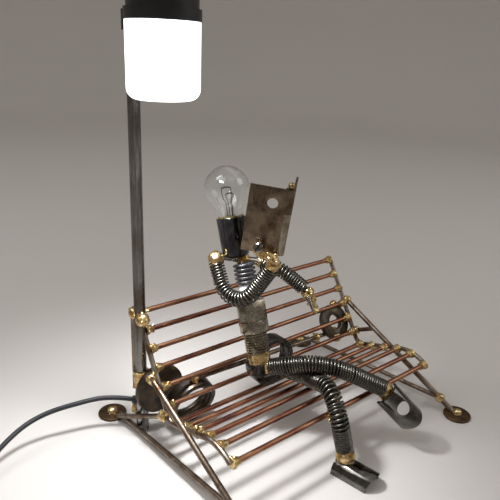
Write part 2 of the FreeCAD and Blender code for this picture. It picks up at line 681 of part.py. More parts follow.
sleeve = dim("sleeve_dia") / 2
sleeve_bore = sleeve - dim("sleeve_wall")
turned("head_sleeve", [
    (0, 0), (sleeve, 0), (sleeve, dim("sleeve_length")), (sleeve_bore, dim("sleeve_length")),
    (sleeve_bore, dim("sleeve_floor")), (0, dim("sleeve_floor")),
], up_head(0))
base = sleeve_bore - dim("base_clearance")
base_length = dim("sleeve_length") - dim("sleeve_floor") + dim("base_proud")
turned("head_bulb_base", [
    (0, 0), (base * 0.6, 0), (base, dim("sleeve_floor")), (base, base_length), (0, base_length),
], up_head(dim("sleeve_floor")))
glass_low = dim("sleeve_length") + dim("base_proud")
ball = dim("bulb_dia") / 2
glass_sides = []
for name, shrink in (("outer", 0), ("inner", dim("glass_wall"))):
    globe = bound("Part::Sphere", f"globe_{name}", up_head(glass_low + dim("globe_rise")), Radius=ball - shrink)
    stalk = bound("Part::Cone", f"stalk_{name}", up_head(glass_low), Radius1=dim("bulb_neck") / 2 - shrink,
                  Radius2=ball * 0.86 - shrink, Height=dim("globe_rise") * 0.62)
    glass_sides.append(fuse(f"glass_{name}", [globe, stalk]))
keep("head_glass", cut("head_glass", glass_sides[0], glass_sides[1]))

wire_radius = val("filament_wire") / 2
press = Part.makeCylinder(val("stem_dia") / 2, val("stem_height"))
half_span = val("filament_span") / 2
parts_inside = [Part.makeCylinder(wire_radius * 1.6, half_span * 2, Vector(-half_span, 0, val("filament_height")),
                                  Vector(1, 0, 0))]
for sign in (-1, 1):
    low_end = Vector(sign * val("stem_dia") * 0.3, 0, val("stem_height") - 0.5)
    high_end = Vector(sign * half_span, 0, val("filament_height"))
    parts_inside.append(straight(low_end, high_end, wire_radius))
inside = feature("head_filament", press.fuse(parts_inside))
inside.Placement = up_head(glass_low)

doc.recompute()
bar = straight(bar_middle - across * val("shoulder_right"), bar_middle + across * val("shoulder_left"),
               val("shoulder_rod") / 2)
sleeve_room = Part.makeCylinder(val("sleeve_dia") / 2, val("sleeve_length"), neck_foot, head_up)
bar = coped(bar, [sleeve_room, pieces["plug_insulator"].Shape, envelope("arm_spring_right", 20),
                  envelope("arm_spring_left", 20)])
feature("shoulder_bar", bar)


# Limbs: a spring slipped over each bent rod

cores = []
for name, route in limb_routes.items():
    limb = "arm" if name.startswith("arm") else "leg"
    wire = val(f"{limb}_wire") / 2
    spring(name, route, val(f"{limb}_dia") / 2 - wire, wire)
    cores.append(route.rod(val(f"{limb}_dia") / 2 - wire * 2 - val("core_clearance")))
feature("limb_rods", Part.makeCompound(cores))


# Feet: half tubes with a round hole

def shoe(label, heel, toe, top):
    """Half of a tube from heel to toe, its crown towards top, with the hole through the crown."""
    ahead = unit(toe - heel)
    side = unit(top.cross(ahead))
    crown = ahead.cross(side)
    turn = Rotation(ahead, side, crown, "XZY")
    length = val("shoe_length")
    radius = val("shoe_dia") / 2
    bore = Part.makeCylinder(radius - val("shoe_wall"), length + 2, Vector(-1, 0, 0), Vector(1, 0, 0))
    hole = Part.makeCylinder(val("shoe_hole") / 2, radius * 3, Vector(val("shoe_hole_reach"), 0, 0))
    toe_cut = Part.makeCylinder(radius * 1.6, radius * 4, Vector(length + radius * 1.25, -radius * 2, 0),
                                Vector(0, 1, 0))
    low_half = Part.makeBox(length + 4, radius * 4, radius * 2, Vector(-2, -radius * 2, -radius * 2))
    full = Part.makeCylinder(radius, length, Vector(), Vector(1, 0, 0))
    thing = feature(label, full.cut([bore, hole, low_half, toe_cut]))
    thing.Placement = Placement(heel, turn)
    return thing


shoe("shoe_left", Vector(-9.3, -50.5, 0), Vector(-4.9, -74.5, 0), Vector(0, 0, 1))
shoe("shoe_right", Vector(27.6, -49.6, 33.2), Vector(38.7, -63.6, 16.8), Vector(-0.45, -0.70, 0.45))
doc.recompute()


# Book: a small butt hinge, its front leaf held by the right hand, its back leaf free to turn on the pin

pin_foot = Vector(val("pin_x"), val("pin_y"), val("pin_z"))
pin_up = Rotation(Vector(1, 0, 0), val("pin_lean")).multVec(Vector(0, 0, 1))
turn_in = math.radians(val("book_turn"))
leaf_way = Vector(math.cos(turn_in), math.sin(turn_in), 0)
leaf_way = unit(leaf_way - pin_up * leaf_way.dot(pin_up))
front_turn = Rotation(leaf_way, pin_up.cross(leaf_way), pin_up, "ZXY")
back_turn = Rotation(pin_up, -val("book_opening")) * front_turn
front_place = Placement(pin_foot, front_turn)
back_place = Placement(pin_foot, back_turn)
knuckle = dim("knuckle_dia") / 2
pin_bore = dim("pin_dia") / 2 + dim("pin_clearance")
height = dim("leaf_height")
back_side = {"book_front": -1, "book_back": 1}


def leaf(label, place, low_end, high_end, rolled_low, rolled_high):
    """A hinge leaf: a plate flush with one side of the barrel, with its own rolled knuckle."""
    flip = back_side[label]
    thick = val("leaf_thickness")
    radius = number(knuckle)
    tall = val("leaf_height")
    plate = bound("Part::Box", f"{label}_plate", place, Length=dim("leaf_width"), Width=dim("leaf_thickness"),
                  Height=height)
    shift = -radius if flip > 0 else radius - thick
    plate.Placement = place * Placement(Vector(0, shift, 0), Rotation())
    lift = Placement(Vector(0, 0, number(rolled_low)), Rotation())
    roll = cylinder(f"{label}_roll", place * lift, knuckle, rolled_high - rolled_low)
    solid = fuse(f"{label}_solid", [plate, roll])
    lower = Placement(Vector(0, 0, number(low_end)), Rotation())
    other = cylinder(f"{label}_other", place * lower, knuckle + dim("knuckle_gap"), high_end - low_end)
    bore = cylinder(f"{label}_bore", place * Placement(Vector(0, 0, -1), Rotation()), pin_bore, height + 2)
    hole_spot = Placement(Vector(val("leaf_width") - val("leaf_hole_in"), -tall / 4, val("leaf_hole_up")),
                          Rotation(Vector(1, 0, 0), -90))
    hole = cylinder(f"{label}_hole", place * hole_spot, dim("leaf_hole") / 2, height / 2)
    return keep(label, cut(label, cut(f"{label}_a", cut(f"{label}_b", solid, other), bore), hole))


split = dim("knuckle_split")
gap = dim("knuckle_gap")
leaf("book_front", front_place, Dim(-1.0, "-1"), split + gap, split + gap, height)
leaf("book_back", back_place, split - gap, height + 1, Dim(0.0, "0"), split - gap)
ball_radius = dim("pin_ball") / 2
pin_rod = cylinder("pin_rod", front_place, dim("pin_dia") / 2, height + ball_radius)
pin_head = bound("Part::Sphere", "pin_head", front_place * Placement(
    Vector(0, 0, val("leaf_height") + val("pin_ball") / 2 - 0.1), Rotation()), Radius=ball_radius)
keep("book_pin", fuse("book_pin", [pin_rod, pin_head]))
doc.recompute()


# Hands: brazed lumps with fingers

def lump(spots):
    """A brazed lump: a run of balls joined by cones."""
    shapes = [Part.makeSphere(radius, spot) for spot, radius in spots]
    for (start, first), (end, last) in zip(spots, spots[1:]):
        shapes.append(Part.makeCone(first * 0.97, last * 0.97, (end - start).Length, start, end - start))
    return shapes[0].fuse(shapes[1:]).removeSplitter()


palm = val("palm_dia") / 2
front_leaf = pieces["book_front"].Shape
out_side = pin_up.cross(leaf_way)
wrist, wrist_way, _, _ = limb_routes["arm_spring_right"].at(limb_routes["arm_spring_right"].length)
knuckle_low = pin_foot - pin_up * (palm + 0.4)
face_out = number(knuckle) + 1.3
finger_low = pin_foot + leaf_way * 5.0 + out_side * face_out + pin_up * 1.0
finger_tip = pin_foot + leaf_way * 13.5 + out_side * face_out + pin_up * 0.6
palm_spot = (wrist + knuckle_low) * 0.5 + out_side * 1.5
right_hand = lump([(wrist + wrist_way * 1.5, palm * 0.95), (palm_spot, palm * 1.05), (finger_low, 2.6),
                   (finger_tip, 1.9)])
screw_way = unit(out_side + pin_up * 0.35 + leaf_way * 0.35)
screw_seat = pin_foot + leaf_way * 11.0 + out_side * (face_out + 1.4) + pin_up * 4.2
head = Part.makeCylinder(val("screw_dia") / 2, val("screw_head"), screw_seat, screw_way)
slot = Part.makeBox(val("screw_dia") + 2, 0.9, 1.0, Vector(-val("screw_dia") / 2 - 1, -0.45, 0))
slot.Placement = Placement(screw_seat + screw_way * (val("screw_head") - 0.7),
                           Rotation(Vector(0, 0, 1), screw_way))
shank = Part.makeCylinder(1.5, 5.0, screw_seat - screw_way * 4.0, screw_way)
back_room = Part.makeCylinder(number(knuckle) + 0.35, val("knuckle_split") + 0.4, pin_foot - pin_up * 0.35, pin_up)
arm_room = Part.makeCylinder(limb_radius["arm"] + seam, 6.0, wrist + wrist_way * seam, wrist_way * -1)
room = [front_leaf, pieces["book_pin"].Shape, back_room, arm_room]
right_hand = right_hand.fuse([head.cut(slot), shank])
feature("hand_right", coped(right_hand, room))

left_end, left_way, _, _ = limb_routes["arm_spring_left"].at(limb_routes["arm_spring_left"].length)
down = Vector(0, 0, -1)
reach_out = unit(left_way + down)
claw_side = unit(reach_out.cross(Vector(0.7, 0.7, 0)))
fore = claw_side.cross(reach_out)
palm_left = left_end + left_way * 2.0
claw = [(palm_left, palm * 0.95), (palm_left + reach_out * 4.5 + left_way * 1.2, palm * 0.8),
        (palm_left + reach_out * 8.5 + fore * 1.2, 1.9), (palm_left + reach_out * 12.5 - fore * 1.0, 1.5),
        (palm_left + reach_out * 15.0 - fore * 3.6, 1.1)]
left_hand = lump(claw)
thumb = straight(palm_left + reach_out * 3.5 - fore * 3.2, palm_left + reach_out * 11.0 - fore * 7.0, 0.9)
feature("hand_left", coped(left_hand.fuse(thumb), [pieces["limb_rods"].Shape.Solids[3]]))


# Cord: out of the foot tube, over the floor, into a coil, and on to its small plug

def smooth_route(points):
    """A cord's route, each arc as large as its two runs allow."""
    radii = []
    for before, corner, after in zip(points, points[1:], points[2:]):
        turn = unit(corner - before).getAngle(unit(after - corner))
        radii.append(0.45 * min((corner - before).Length, (after - corner).Length) / math.tan(turn / 2))
    print("cord radii", [round(radius, 1) for radius in radii])
    return Route(points, radii)


cord_radius = val("cord_dia") / 2
grommet_outer = dim("grommet_dia") / 2
collar_place = along(entry + cord_way * (val("post_foot_dia") / 2 - val("post_wall") * 0.4), cord_way)
keep("cord_grommet", tube("cord_grommet", collar_place, grommet_outer, grommet_outer - dim("cord_dia") / 2 - 0.35,
                          dim("post_wall") * 3))
coil_centre = Vector(val("coil_x"), val("coil_y"), 0)
coil_step = val("cord_dia") + val("coil_gap")
first_angle = math.radians(val("coil_start_angle"))
first_flow = Vector(math.sin(first_angle), -math.cos(first_angle), 0)
outer_radius = val("coil_radius") + coil_step * int(val("coil_loops")) / 2
coil_start = coil_centre + Vector(math.cos(first_angle) * outer_radius, math.sin(first_angle) * outer_radius,
                                  cord_radius) - first_flow * val("cord_dia")
points = [
    entry + cord_way * (val("post_foot_dia") / 2), Vector(-95.0, 55.0, 21.5), Vector(-113.0, 60.0, 20.5),
    Vector(-127.0, 63.5, 19.0), Vector(-141.0, 63.0, 17.0), Vector(-157.0, 57.5, 12.0), Vector(-172.0, 48.0, 5.5),
    coil_start - first_flow * 11.0, coil_start,
]
lead_route = smooth_route(points)
feature("cord_lead", lead_route.rod(cord_radius))
print("cord volume ratio", round(pieces["cord_lead"].Shape.Volume
                                 / (lead_route.length * math.pi * cord_radius ** 2), 4))


def coil_spots():
    """Quarter turns of the coil: in along the floor, out and in again a layer higher each time, then on top."""
    loops = int(val("coil_loops"))
    drift = coil_step / 4
    rise = val("cord_dia") + val("coil_gap")
    spots = []
    radius = outer_radius
    way = -1
    for layer, quarters in enumerate([loops * 4, loops * 4, loops * 4, 4]):
        level = cord_radius + layer * rise
        for _ in range(quarters):
            spots.append((radius, level))
            radius += way * drift
        spots.append((radius, level))
        if layer < 3:
            spots.append((radius + way * drift, level + rise / 2))
        way = -way
    lift = val("plug_dia") / 2 + cord_radius
    return spots + [(radius, level + lift / 2), (radius, level + lift)]


spots = coil_spots()
ring_points = []
for index, (radius, level) in enumerate(spots):
    angle = first_angle - index * math.pi / 2
    before = spots[max(0, index - 1)]
    after = spots[min(len(spots) - 1, index + 1)]
    outward = (after[0] - before[0]) / math.pi
    climb = (after[1] - before[1]) / math.pi
    if index in (0, len(spots) - 1):
        outward = 0.0
    if level in (before[1], after[1]):
        climb = 0.0
    along_x = math.sin(angle) * radius + math.cos(angle) * outward
    along_y = -math.cos(angle) * radius + math.sin(angle) * outward
    place = coil_centre + Vector(math.cos(angle) * radius, math.sin(angle) * radius, level)
    ring_points.append((place, unit(Vector(along_x, along_y, climb))))
edges = [Part.LineSegment(coil_start, ring_points[0][0]).toShape()]
for (point, flow), (after, onward) in zip(ring_points, ring_points[1:]):
    edges.extend(biarc(point, flow, after, onward))
tail_way = ring_points[-1][1]
tail = ring_points[-1][0] + tail_way * val("cord_dia")
edges.append(Part.LineSegment(ring_points[-1][0], tail).toShape())
section = Part.Wire([Part.Circle(coil_start, first_flow, cord_radius).toShape()])
coil_path = Part.Wire(edges)
coil = coil_path.makePipeShell([section], True, False)
feature("cord_coil", coil)
loose = least_gap([point for edge in edges[1:-1] for point in edge.discretize(6)[:-1]], 30, 400)
print(f"cord_coil: least gap {loose - 2 * cord_radius:.2f} mm, length {coil_path.Length:.0f} mm,"
      f" volume ratio {coil.Volume / (coil_path.Length * math.pi * cord_radius ** 2):.4f}")

plug_turn = along(tail, tail_way)
grip = dim("plug_dia") / 2
neck_end = dim("plug_length") * 0.3
turned("plug_grip", [
    (0, 0), (dim("cord_dia") / 2 + 0.9, 0), (grip * 0.8, neck_end), (grip, dim("plug_length") * 0.45),
    (grip, dim("plug_length")), (0, dim("plug_length")),
], plug_turn)
tip_start = along(tail + tail_way * val("plug_length"), tail_way)
contact = tube("plug_barrel_tube", tip_start, dim("plug_barrel_dia") / 2, dim("plug_barrel_dia") * 0.3,
               dim("plug_barrel_length"))
keep("plug_tip", contact)
doc.recompute()


# Braze: a bead on every joint, cut to fit the rods that it runs round

def bead(spot, radius):
    """A ball, turned so that neither its seam nor its poles lie along a rod."""
    return Part.makeSphere(radius, spot, Vector(0.31, 0.53, 0.79))


def fillet_cone(spot, way, wide, narrow, length):
    return Part.makeCone(wide, narrow, length, spot, way)


def sound(solid):
    """True where the solid is valid and its skin closes round its whole volume."""
    points, corners = solid.tessellate(0.05)
    inside = sum(points[a].dot(points[b].cross(points[c])) for a, b, c in corners) / 6
    return solid.isValid() and abs(inside - solid.Volume) < solid.Volume * 0.006


def beaded(label, beads, neighbours):
    """The beads as solids, with the rods and pieces that the braze flowed round taken out of each.

    A bead that only grazes a neighbour may not cut cleanly, so it is moved by small steps until it does.
    """
    solids = []
    for index, shape in enumerate(beads):
        for step in range(12):
            rest = shape.translated(Vector(0.11, 0.16, -0.13) * step)
            for other in touching(rest, neighbours + solids):
                rest = rest.cut(other)
            lumps = [solid for solid in rest.Solids if solid.Volume > 1.5]
            if lumps and all(sound(solid) for solid in lumps):
                break
        else:
            raise RuntimeError(f"bead {index} of {label} does not cut cleanly")
        solids.extend(lumps)
    return feature(label, Part.makeCompound(solids))


metal = [thing.Shape for label, thing in pieces.items()
         if not label.startswith(("cord", "plug_grip", "plug_tip", "book_back", "head_glass", "lamp_diffuser"))]
metal.append(floor_top)
bench_beads = []
flare = val("braze_flare")
for spot in slat_spots:
    for sign in (-1, 1):
        # the post stands against the left end of the second slat, so that bead stops short of it
        into_rod = 1.0 if sign < 0 and spot is slat_spots[1] else 0.5
        end = Vector(sign * (half_width - rod_radius * into_rod), spot.y, spot.z)
        bench_beads.append(fillet_cone(end, Vector(-sign, 0, 0), flare, rod_radius + 0.15, val("braze_length")))
for side in ("left", "right"):
    for spot in (leg_tops[side], on_leg(side, val(f"rail_joint_{side}"))):
        ball = bead(spot, val("braze_bead"))
        if spot is leg_tops[side]:
            # the leg only touches the rod at one point, and the braze stops short of it
            ball = ball.cut(bead(spot + Vector(leg_radius if side == "left" else -leg_radius, 0, 0), rod_radius * 0.4))
        bench_beads.append(ball)
    bench_beads.append(bead(rear_legs[side][1], val("braze_bead") * 0.9))
for name, spot in feet.items():
    bench_beads.append(bead(spot + Vector(0, 0, val("foot_thickness")), val("braze_bead")))
bench_beads.append(bead(cross_start, val("braze_bead") * 0.85))
bench_beads.append(bead(cross_end, val("braze_bead")))
bench_beads.append(bead(strut_foot, val("braze_bead") * 0.8))
for share in (-1, 1):
    edge_spot = washer_seat + back_down * share * val("washer_dia") * 0.46 + Vector(-share * 3.5, 0.3, 0.4)
    bench_beads.append(bead(edge_spot, val("braze_bead") * 0.9))
for level in (val("backing_high") - 2, val("post_joint") - 18):
    bench_beads.append(bead(post_axis + Vector(0, 0, level) + brace * 0.6, val("braze_bead") * 1.3))
bench_beads.append(bead(Vector((post_axis.x + leg_tops["left"].x) / 2, val("post_y") - 4.5, slat_spots[0].z),
                        val("braze_bead") * 1.25))
bench_beads.append(Part.makeCylinder(val("post_foot_dia") / 2 + val("braze_wall"), val("sleeve_braze"),
                                     post_axis + Vector(0, 0, val("post_joint") - 2)))
robot_beads = [
    Part.makeCylinder(val("hip_weld_dia") / 2, val("hip_weld_height"), up_torso(weld_low).Base, torso_up),
    bead(legs_start["right"] - Vector(1.5, -1.0, 0), limb_radius["leg"] * 0.8),
    bead(legs_start["left"] + Vector(0, 1.5, 0), limb_radius["leg"] * 0.85),
    bead(hips + Vector(0, 0, -val("hip_dia") / 2), 2.6),
    bead(Vector(-38.3, 28.9, 104.4), limb_radius["arm"]),
    bead(bar_middle + across * val("shoulder_left") * 1.1 + Vector(0.2, 0.3, 0.4), limb_radius["arm"] * 0.9),
    bead(bar_middle, 4.0),
    bead(Vector(-11.0, -46.0, 30.2), 3.4),
    bead(Vector(-8.2, -54.0, 9.4), 5.4),
    bead(Vector(27.4, -49.6, 34.4), 4.8),
]
beaded("braze_beads", bench_beads + robot_beads, metal)


# Check every piece, then write it

doc.recompute()
for thing in doc.Objects:
    if "Invalid" in thing.State or "Error" in thing.State:
        raise RuntimeError(f"{thing.Label} did not rebuild: {thing.State}")
for label, thing in pieces.items():
    if thing.Label != label or thing.Shape.isNull() or not thing.Shape.isValid():
        raise RuntimeError(f"{label} has no sound shape")
    if not thing.Shape.Solids:
        raise RuntimeError(f"{label} is not solid")
os.makedirs("parts", exist_ok=True)
for label, thing in pieces.items():
    thing.Shape.exportStep(f"parts/{label}.step")
box = FreeCAD.BoundBox()
for label, thing in pieces.items():
    if not label.startswith(("cord_", "plug_grip", "plug_tip")):
        box.add(thing.Shape.BoundBox)
print(f"{len(pieces)} pieces, object box {box.XMin:.2f} {box.XMax:.2f} {box.YMin:.2f} {box.YMax:.2f}"
      f" {box.ZMin:.2f} {box.ZMax:.2f}")
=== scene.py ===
"""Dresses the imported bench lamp: a robot of springs and a spark plug that reads on a bench of brazed rods.

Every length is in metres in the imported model's frame: +Z up, the bench's front towards -Y, the floor at
Z = 0.  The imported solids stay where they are.  Pieces that need more detail are modelled here and stand
for their solids, and every solid that stays gets its own finish.
"""

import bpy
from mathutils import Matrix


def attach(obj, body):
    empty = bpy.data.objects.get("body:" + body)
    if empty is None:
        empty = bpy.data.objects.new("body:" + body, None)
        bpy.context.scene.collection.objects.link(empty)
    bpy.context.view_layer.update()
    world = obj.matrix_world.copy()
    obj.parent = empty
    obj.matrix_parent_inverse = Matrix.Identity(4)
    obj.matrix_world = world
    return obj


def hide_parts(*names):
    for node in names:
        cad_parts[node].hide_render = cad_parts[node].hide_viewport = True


bl_info = {
    "name": "Bench Robot Lamp",
    "version": (1, 0, 0),
    "blender": (4, 5, 0),
    "location": "View3D > Sidebar > Bench Lamp",
    "description": "Dresses the packed bench lamp with springs, braze, glass, cord and finishes",
    "category": "Object",
}

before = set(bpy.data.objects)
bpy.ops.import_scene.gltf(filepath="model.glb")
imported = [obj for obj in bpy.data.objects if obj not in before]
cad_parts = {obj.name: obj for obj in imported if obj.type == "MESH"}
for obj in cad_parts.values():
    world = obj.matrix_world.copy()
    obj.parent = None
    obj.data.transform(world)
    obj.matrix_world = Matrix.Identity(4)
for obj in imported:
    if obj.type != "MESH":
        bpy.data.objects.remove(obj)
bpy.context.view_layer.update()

import math
import random

import bpy
from bpy.props import FloatProperty, FloatVectorProperty, IntProperty, PointerProperty
from bpy.types import Operator, Panel, PropertyGroup
from mathutils import Matrix, Vector

MM = 0.001


def mm(x, y, z):
    """A point or a way that is written in millimetres."""
    return Vector((x, y, z)) * MM


def srgb(red, green, blue):
    """The linear colour of a paint-chart colour from 0 to 255."""
    return tuple(((c / 255 + 0.055) / 1.055) ** 2.4 if c > 10 else c / 255 / 12.92
                 for c in (red, green, blue))


# The photograph's camera, and the object's main places

CAMERA_SPOT = mm(-212.4, -210.6, 215.8)
CAMERA_AZIMUTH, CAMERA_DOWN, CAMERA_ROLL = math.radians(-39.70), math.radians(19.59), math.radians(2.467)
CAMERA_LENS = 557.06 / 500 * 36

PIN_FOOT, PIN_UP = mm(-23.3, -7.0, 115.4), Vector((0.0, -0.163, 0.987))
TORSO_FOOT, TORSO_UP = mm(-23.9, 0.5, 38.6), Vector((0.016, 0.344, 0.939))
NECK, HEAD_UP = mm(-26.276, 25.949, 105.552), Vector((0.0, 0.276, 0.961))
LAMP_AXIS = mm(-77.0, 19.0, 0.0)
CORD_EXIT = mm(-82.9, 44.5, 20.0)


# Sizes and colours that a user would change

class BenchLampSizes(PropertyGroup):
    """Sizes of the pieces that are modelled here."""
    arm_wire: FloatProperty(name="Arm spring wire", description="Thickness of the wire in the arms' springs",
                            default=0.00112, min=0.0005, max=0.003, unit="LENGTH")
    leg_wire: FloatProperty(name="Leg spring wire", description="Thickness of the wire in the legs' springs",
                            default=0.00134, min=0.0005, max=0.003, unit="LENGTH")
    arm_slack: FloatProperty(name="Arm spring slack", default=1.48, min=1.0, max=2.5, subtype="FACTOR",
                             description="Step from turn to turn, as a share of the wire")
    leg_slack: FloatProperty(name="Leg spring slack", default=1.12, min=1.0, max=2.5, subtype="FACTOR",
                             description="Step from turn to turn, as a share of the wire")
    cord_diameter: FloatProperty(name="Cord diameter", description="Outside of the black lead",
                                 default=0.0028, min=0.001, max=0.008, unit="LENGTH")
    glass_wall: FloatProperty(name="Bulb glass", description="Wall of the bulb that is the robot's head",
                              default=0.0006, min=0.0003, max=0.0012, unit="LENGTH")
    braze_grain: FloatProperty(name="Braze grain", description="Smallest lump that the braze holds",
                               default=0.00036, min=0.0002, max=0.001, unit="LENGTH")
    glow: FloatProperty(name="Diffuser glow", description="How brightly the lit diffuser shines", default=2.4,
                        min=0.0, max=50.0)


class BenchLampColours(PropertyGroup):
    """Colours of the finishes, each the clean metal or the plain material."""
    rod_steel: FloatVectorProperty(name="Rod steel", description="Bare drawn steel of the frames and legs",
                                   subtype="COLOR", size=3, default=srgb(176, 168, 156))
    tinted_steel: FloatVectorProperty(name="Slat steel", description="Heat-tinted copper brown of the slats",
                                      subtype="COLOR", size=3, default=srgb(150, 100, 78))
    braze: FloatVectorProperty(name="Braze", description="Clean brazing brass", subtype="COLOR", size=3,
                               default=srgb(196, 164, 108))
    spring: FloatVectorProperty(name="Spring steel", description="Oiled spring wire", subtype="COLOR", size=3,
                                default=srgb(118, 116, 108))
    dark_steel: FloatVectorProperty(name="Dark steel", description="Steel of the race, disc and washer",
                                    subtype="COLOR", size=3, default=srgb(72, 70, 68))
    aged_steel: FloatVectorProperty(name="Hinge steel", description="Brown aged steel of the hinge leaves",
                                    subtype="COLOR", size=3, default=srgb(132, 118, 100))
    rubber: FloatVectorProperty(name="Cord rubber", description="Black of the cord and its plug",
                                subtype="COLOR", size=3, default=srgb(24, 24, 26))
    floor: FloatVectorProperty(name="Floor", description="Pale floor and backdrop", subtype="COLOR", size=3,
                               default=srgb(206, 201, 196))


def sizes():
    return bpy.context.scene.bench_lamp_sizes


def colours():
    return bpy.context.scene.bench_lamp_colours


# Finishes

class Finish:
    """A node-based material: a Principled shader, and short ways to add the nodes that feed it."""

    def __init__(self, name, **sockets):
        self.material = bpy.data.materials.new(name)
        self.material.use_nodes = True
        self.nodes = self.material.node_tree.nodes
        self.links = self.material.node_tree.links
        self.shader = self.nodes["Principled BSDF"]
        for socket, value in sockets.items():
            self.shader.inputs[socket.replace("_", " ")].default_value = value
        self.coords = self.nodes.new("ShaderNodeTexCoord").outputs["Object"]

    def add(self, kind, **settings):
        node = self.nodes.new(kind)
        for field, value in settings.items():
            setattr(node, field, value)
        return node

    def feed(self, output, node, socket):
        self.links.new(output, node.inputs[socket])

    def drive(self, socket, output):
        self.links.new(output, self.shader.inputs[socket])

    def stretched(self, scale, turn=(0, 0, 0)):
        """Object coordinates turned, and scaled so that a pattern runs long where the scale is small."""
        node = self.add("ShaderNodeMapping", vector_type="TEXTURE")
        node.inputs["Rotation"].default_value = turn
        node.inputs["Scale"].default_value = [1 / s for s in scale]
        self.feed(self.coords, node, "Vector")
        return node.outputs[0]

    def noise(self, scale, detail=4.0, rough=0.55, where=None, warp=0.0):
        node = self.add("ShaderNodeTexNoise")
        node.inputs["Scale"].default_value = scale
        node.inputs["Detail"].default_value = detail
        node.inputs["Roughness"].default_value = rough
        node.inputs["Distortion"].default_value = warp
        self.feed(where or self.coords, node, "Vector")
        return node.outputs["Fac"]

    def cells(self, scale, where=None):
        node = self.add("ShaderNodeTexVoronoi", feature="SMOOTH_F1")
        node.inputs["Scale"].default_value = scale
        self.feed(where or self.coords, node, "Vector")
        return node.outputs["Distance"]

    def ramp(self, source, *stops):
        """Values or colours set at places along the source."""
        node = self.add("ShaderNodeValToRGB")
        marks = node.color_ramp.elements
        for index, (place, value) in enumerate(stops):
            mark = marks[index] if index < 2 else marks.new(place)
            mark.position = place
            mark.color = (*value, 1) if hasattr(value, "__len__") else (value, value, value, 1)
        self.feed(source, node, "Fac")
        return node.outputs["Color"]

    def span(self, source, low, high):
        """The source spread from low to high."""
        node = self.add("ShaderNodeMapRange")
        node.inputs["To Min"].default_value = low
        node.inputs["To Max"].default_value = high
        self.feed(source, node, "Value")
        return node.outputs[0]

    def mix(self, share, first, second, kind="MIX"):
        """The first colour turning to the second by the share; each is a colour or an output."""
        node = self.add("ShaderNodeMix", data_type="RGBA", blend_type=kind)
        for value, socket in ((share, 0), (first, 6), (second, 7)):
            if hasattr(value, "default_value"):
                self.feed(value, node, socket)
            else:
                node.inputs[socket].default_value = (*value, 1) if hasattr(value, "__len__") else value
        return node.outputs[2]

    def bump(self, height, depth, over=None):
        """Relief of the depth in metres, on top of an earlier relief."""
        node = self.add("ShaderNodeBump")
        node.inputs["Strength"].default_value = 1.0
        node.inputs["Distance"].default_value = depth
        self.feed(height, node, "Height")
        if over:
            self.feed(over, node, "Normal")
        self.drive("Normal", node.outputs[0])
        return node.outputs[0]


def worn_metal(name, clean, tarnish, grime, gloss=(0.22, 0.45), patch=70.0, grain=900.0, streak=(1, 1, 1),
               grimy=0.6, relief=0.00003, pits=0.0):
    """Metal with tarnished patches, grime in spots, fine marks along the streak and a little relief."""
    finish = Finish(name, Metallic=1.0)
    patches = finish.noise(patch, 5.0, 0.6, warp=0.4)
    metal = finish.mix(finish.ramp(patches, (0.38, 0.0), (0.64, 1.0)), tuple(clean), tarnish)
    lines = finish.noise(grain, 3.0, 0.6, where=finish.stretched(streak))
    metal = finish.mix(finish.ramp(lines, (0.35, 0.22), (0.65, 0.0)), metal, grime)
    dirt = finish.noise(patch * 3.3, 6.0, 0.65, where=finish.stretched((1, 1, 1), (0.4, 0.2, 0.9)))
    spots = finish.ramp(dirt, (0.55, 0.0), (0.72, grimy))
    finish.drive("Base Color", finish.mix(spots, metal, grime))
    rough = finish.mix(finish.ramp(lines, (0.3, 0.0), (0.7, 1.0)), (gloss[0],) * 3, (gloss[1],) * 3)
    finish.drive("Roughness", finish.mix(spots, rough, (min(1.0, gloss[1] + 0.22),) * 3))
    fine = finish.bump(lines, relief)
    deep = finish.bump(dirt, relief * 2.5, fine)
    if pits:
        finish.bump(finish.ramp(finish.cells(grain * 0.6), (0.0, 0.0), (0.35, 1.0)), pits, deep)
    return finish


def slat_finish(name, seed):
    """Steel rod browned by the torch: bands of copper and dark purple along it, light bands that are painted
    highlight as well as straw tint, and drawn lines.
    """
    finish = Finish(name, Metallic=1.0)
    clean = tuple(colours().tinted_steel)
    run = finish.stretched((0.16, 1.0, 1.0), (0.0, 0.0, 0.0))
    shift = finish.add("ShaderNodeVectorMath", operation="ADD")
    shift.inputs[1].default_value = (seed * 0.37, seed * 0.11, seed * 0.23)
    finish.feed(run, shift, 0)
    bands = finish.noise(190.0, 3.0, 0.55, where=shift.outputs[0], warp=0.3)
    # the light stop srgb(178, 134, 104) is painted highlight as well as straw heat tint
    tint_and_highlight = finish.ramp(bands, (0.30, srgb(96, 62, 58)), (0.44, clean), (0.56, srgb(178, 134, 104)),
                       (0.66, srgb(120, 78, 62)), (0.78, srgb(70, 50, 52)))
    lines = finish.noise(1500.0, 3.0, 0.65, where=finish.stretched((0.06, 1.0, 1.0)))
    tint_and_highlight = finish.mix(finish.ramp(lines, (0.38, 0.35), (0.62, 0.0)), tint_and_highlight, srgb(52, 36, 30))
    spots = finish.ramp(finish.noise(420.0, 5.0, 0.7), (0.58, 0.0), (0.70, 0.7))
    finish.drive("Base Color", finish.mix(spots, tint_and_highlight, srgb(44, 32, 28)))
    rough = finish.mix(finish.ramp(bands, (0.35, 0.0), (0.7, 1.0)), (0.26,) * 3, (0.42,) * 3)
    finish.drive("Roughness", finish.mix(spots, rough, (0.6,) * 3))
    finish.bump(lines, 0.00003)
    return finish.material


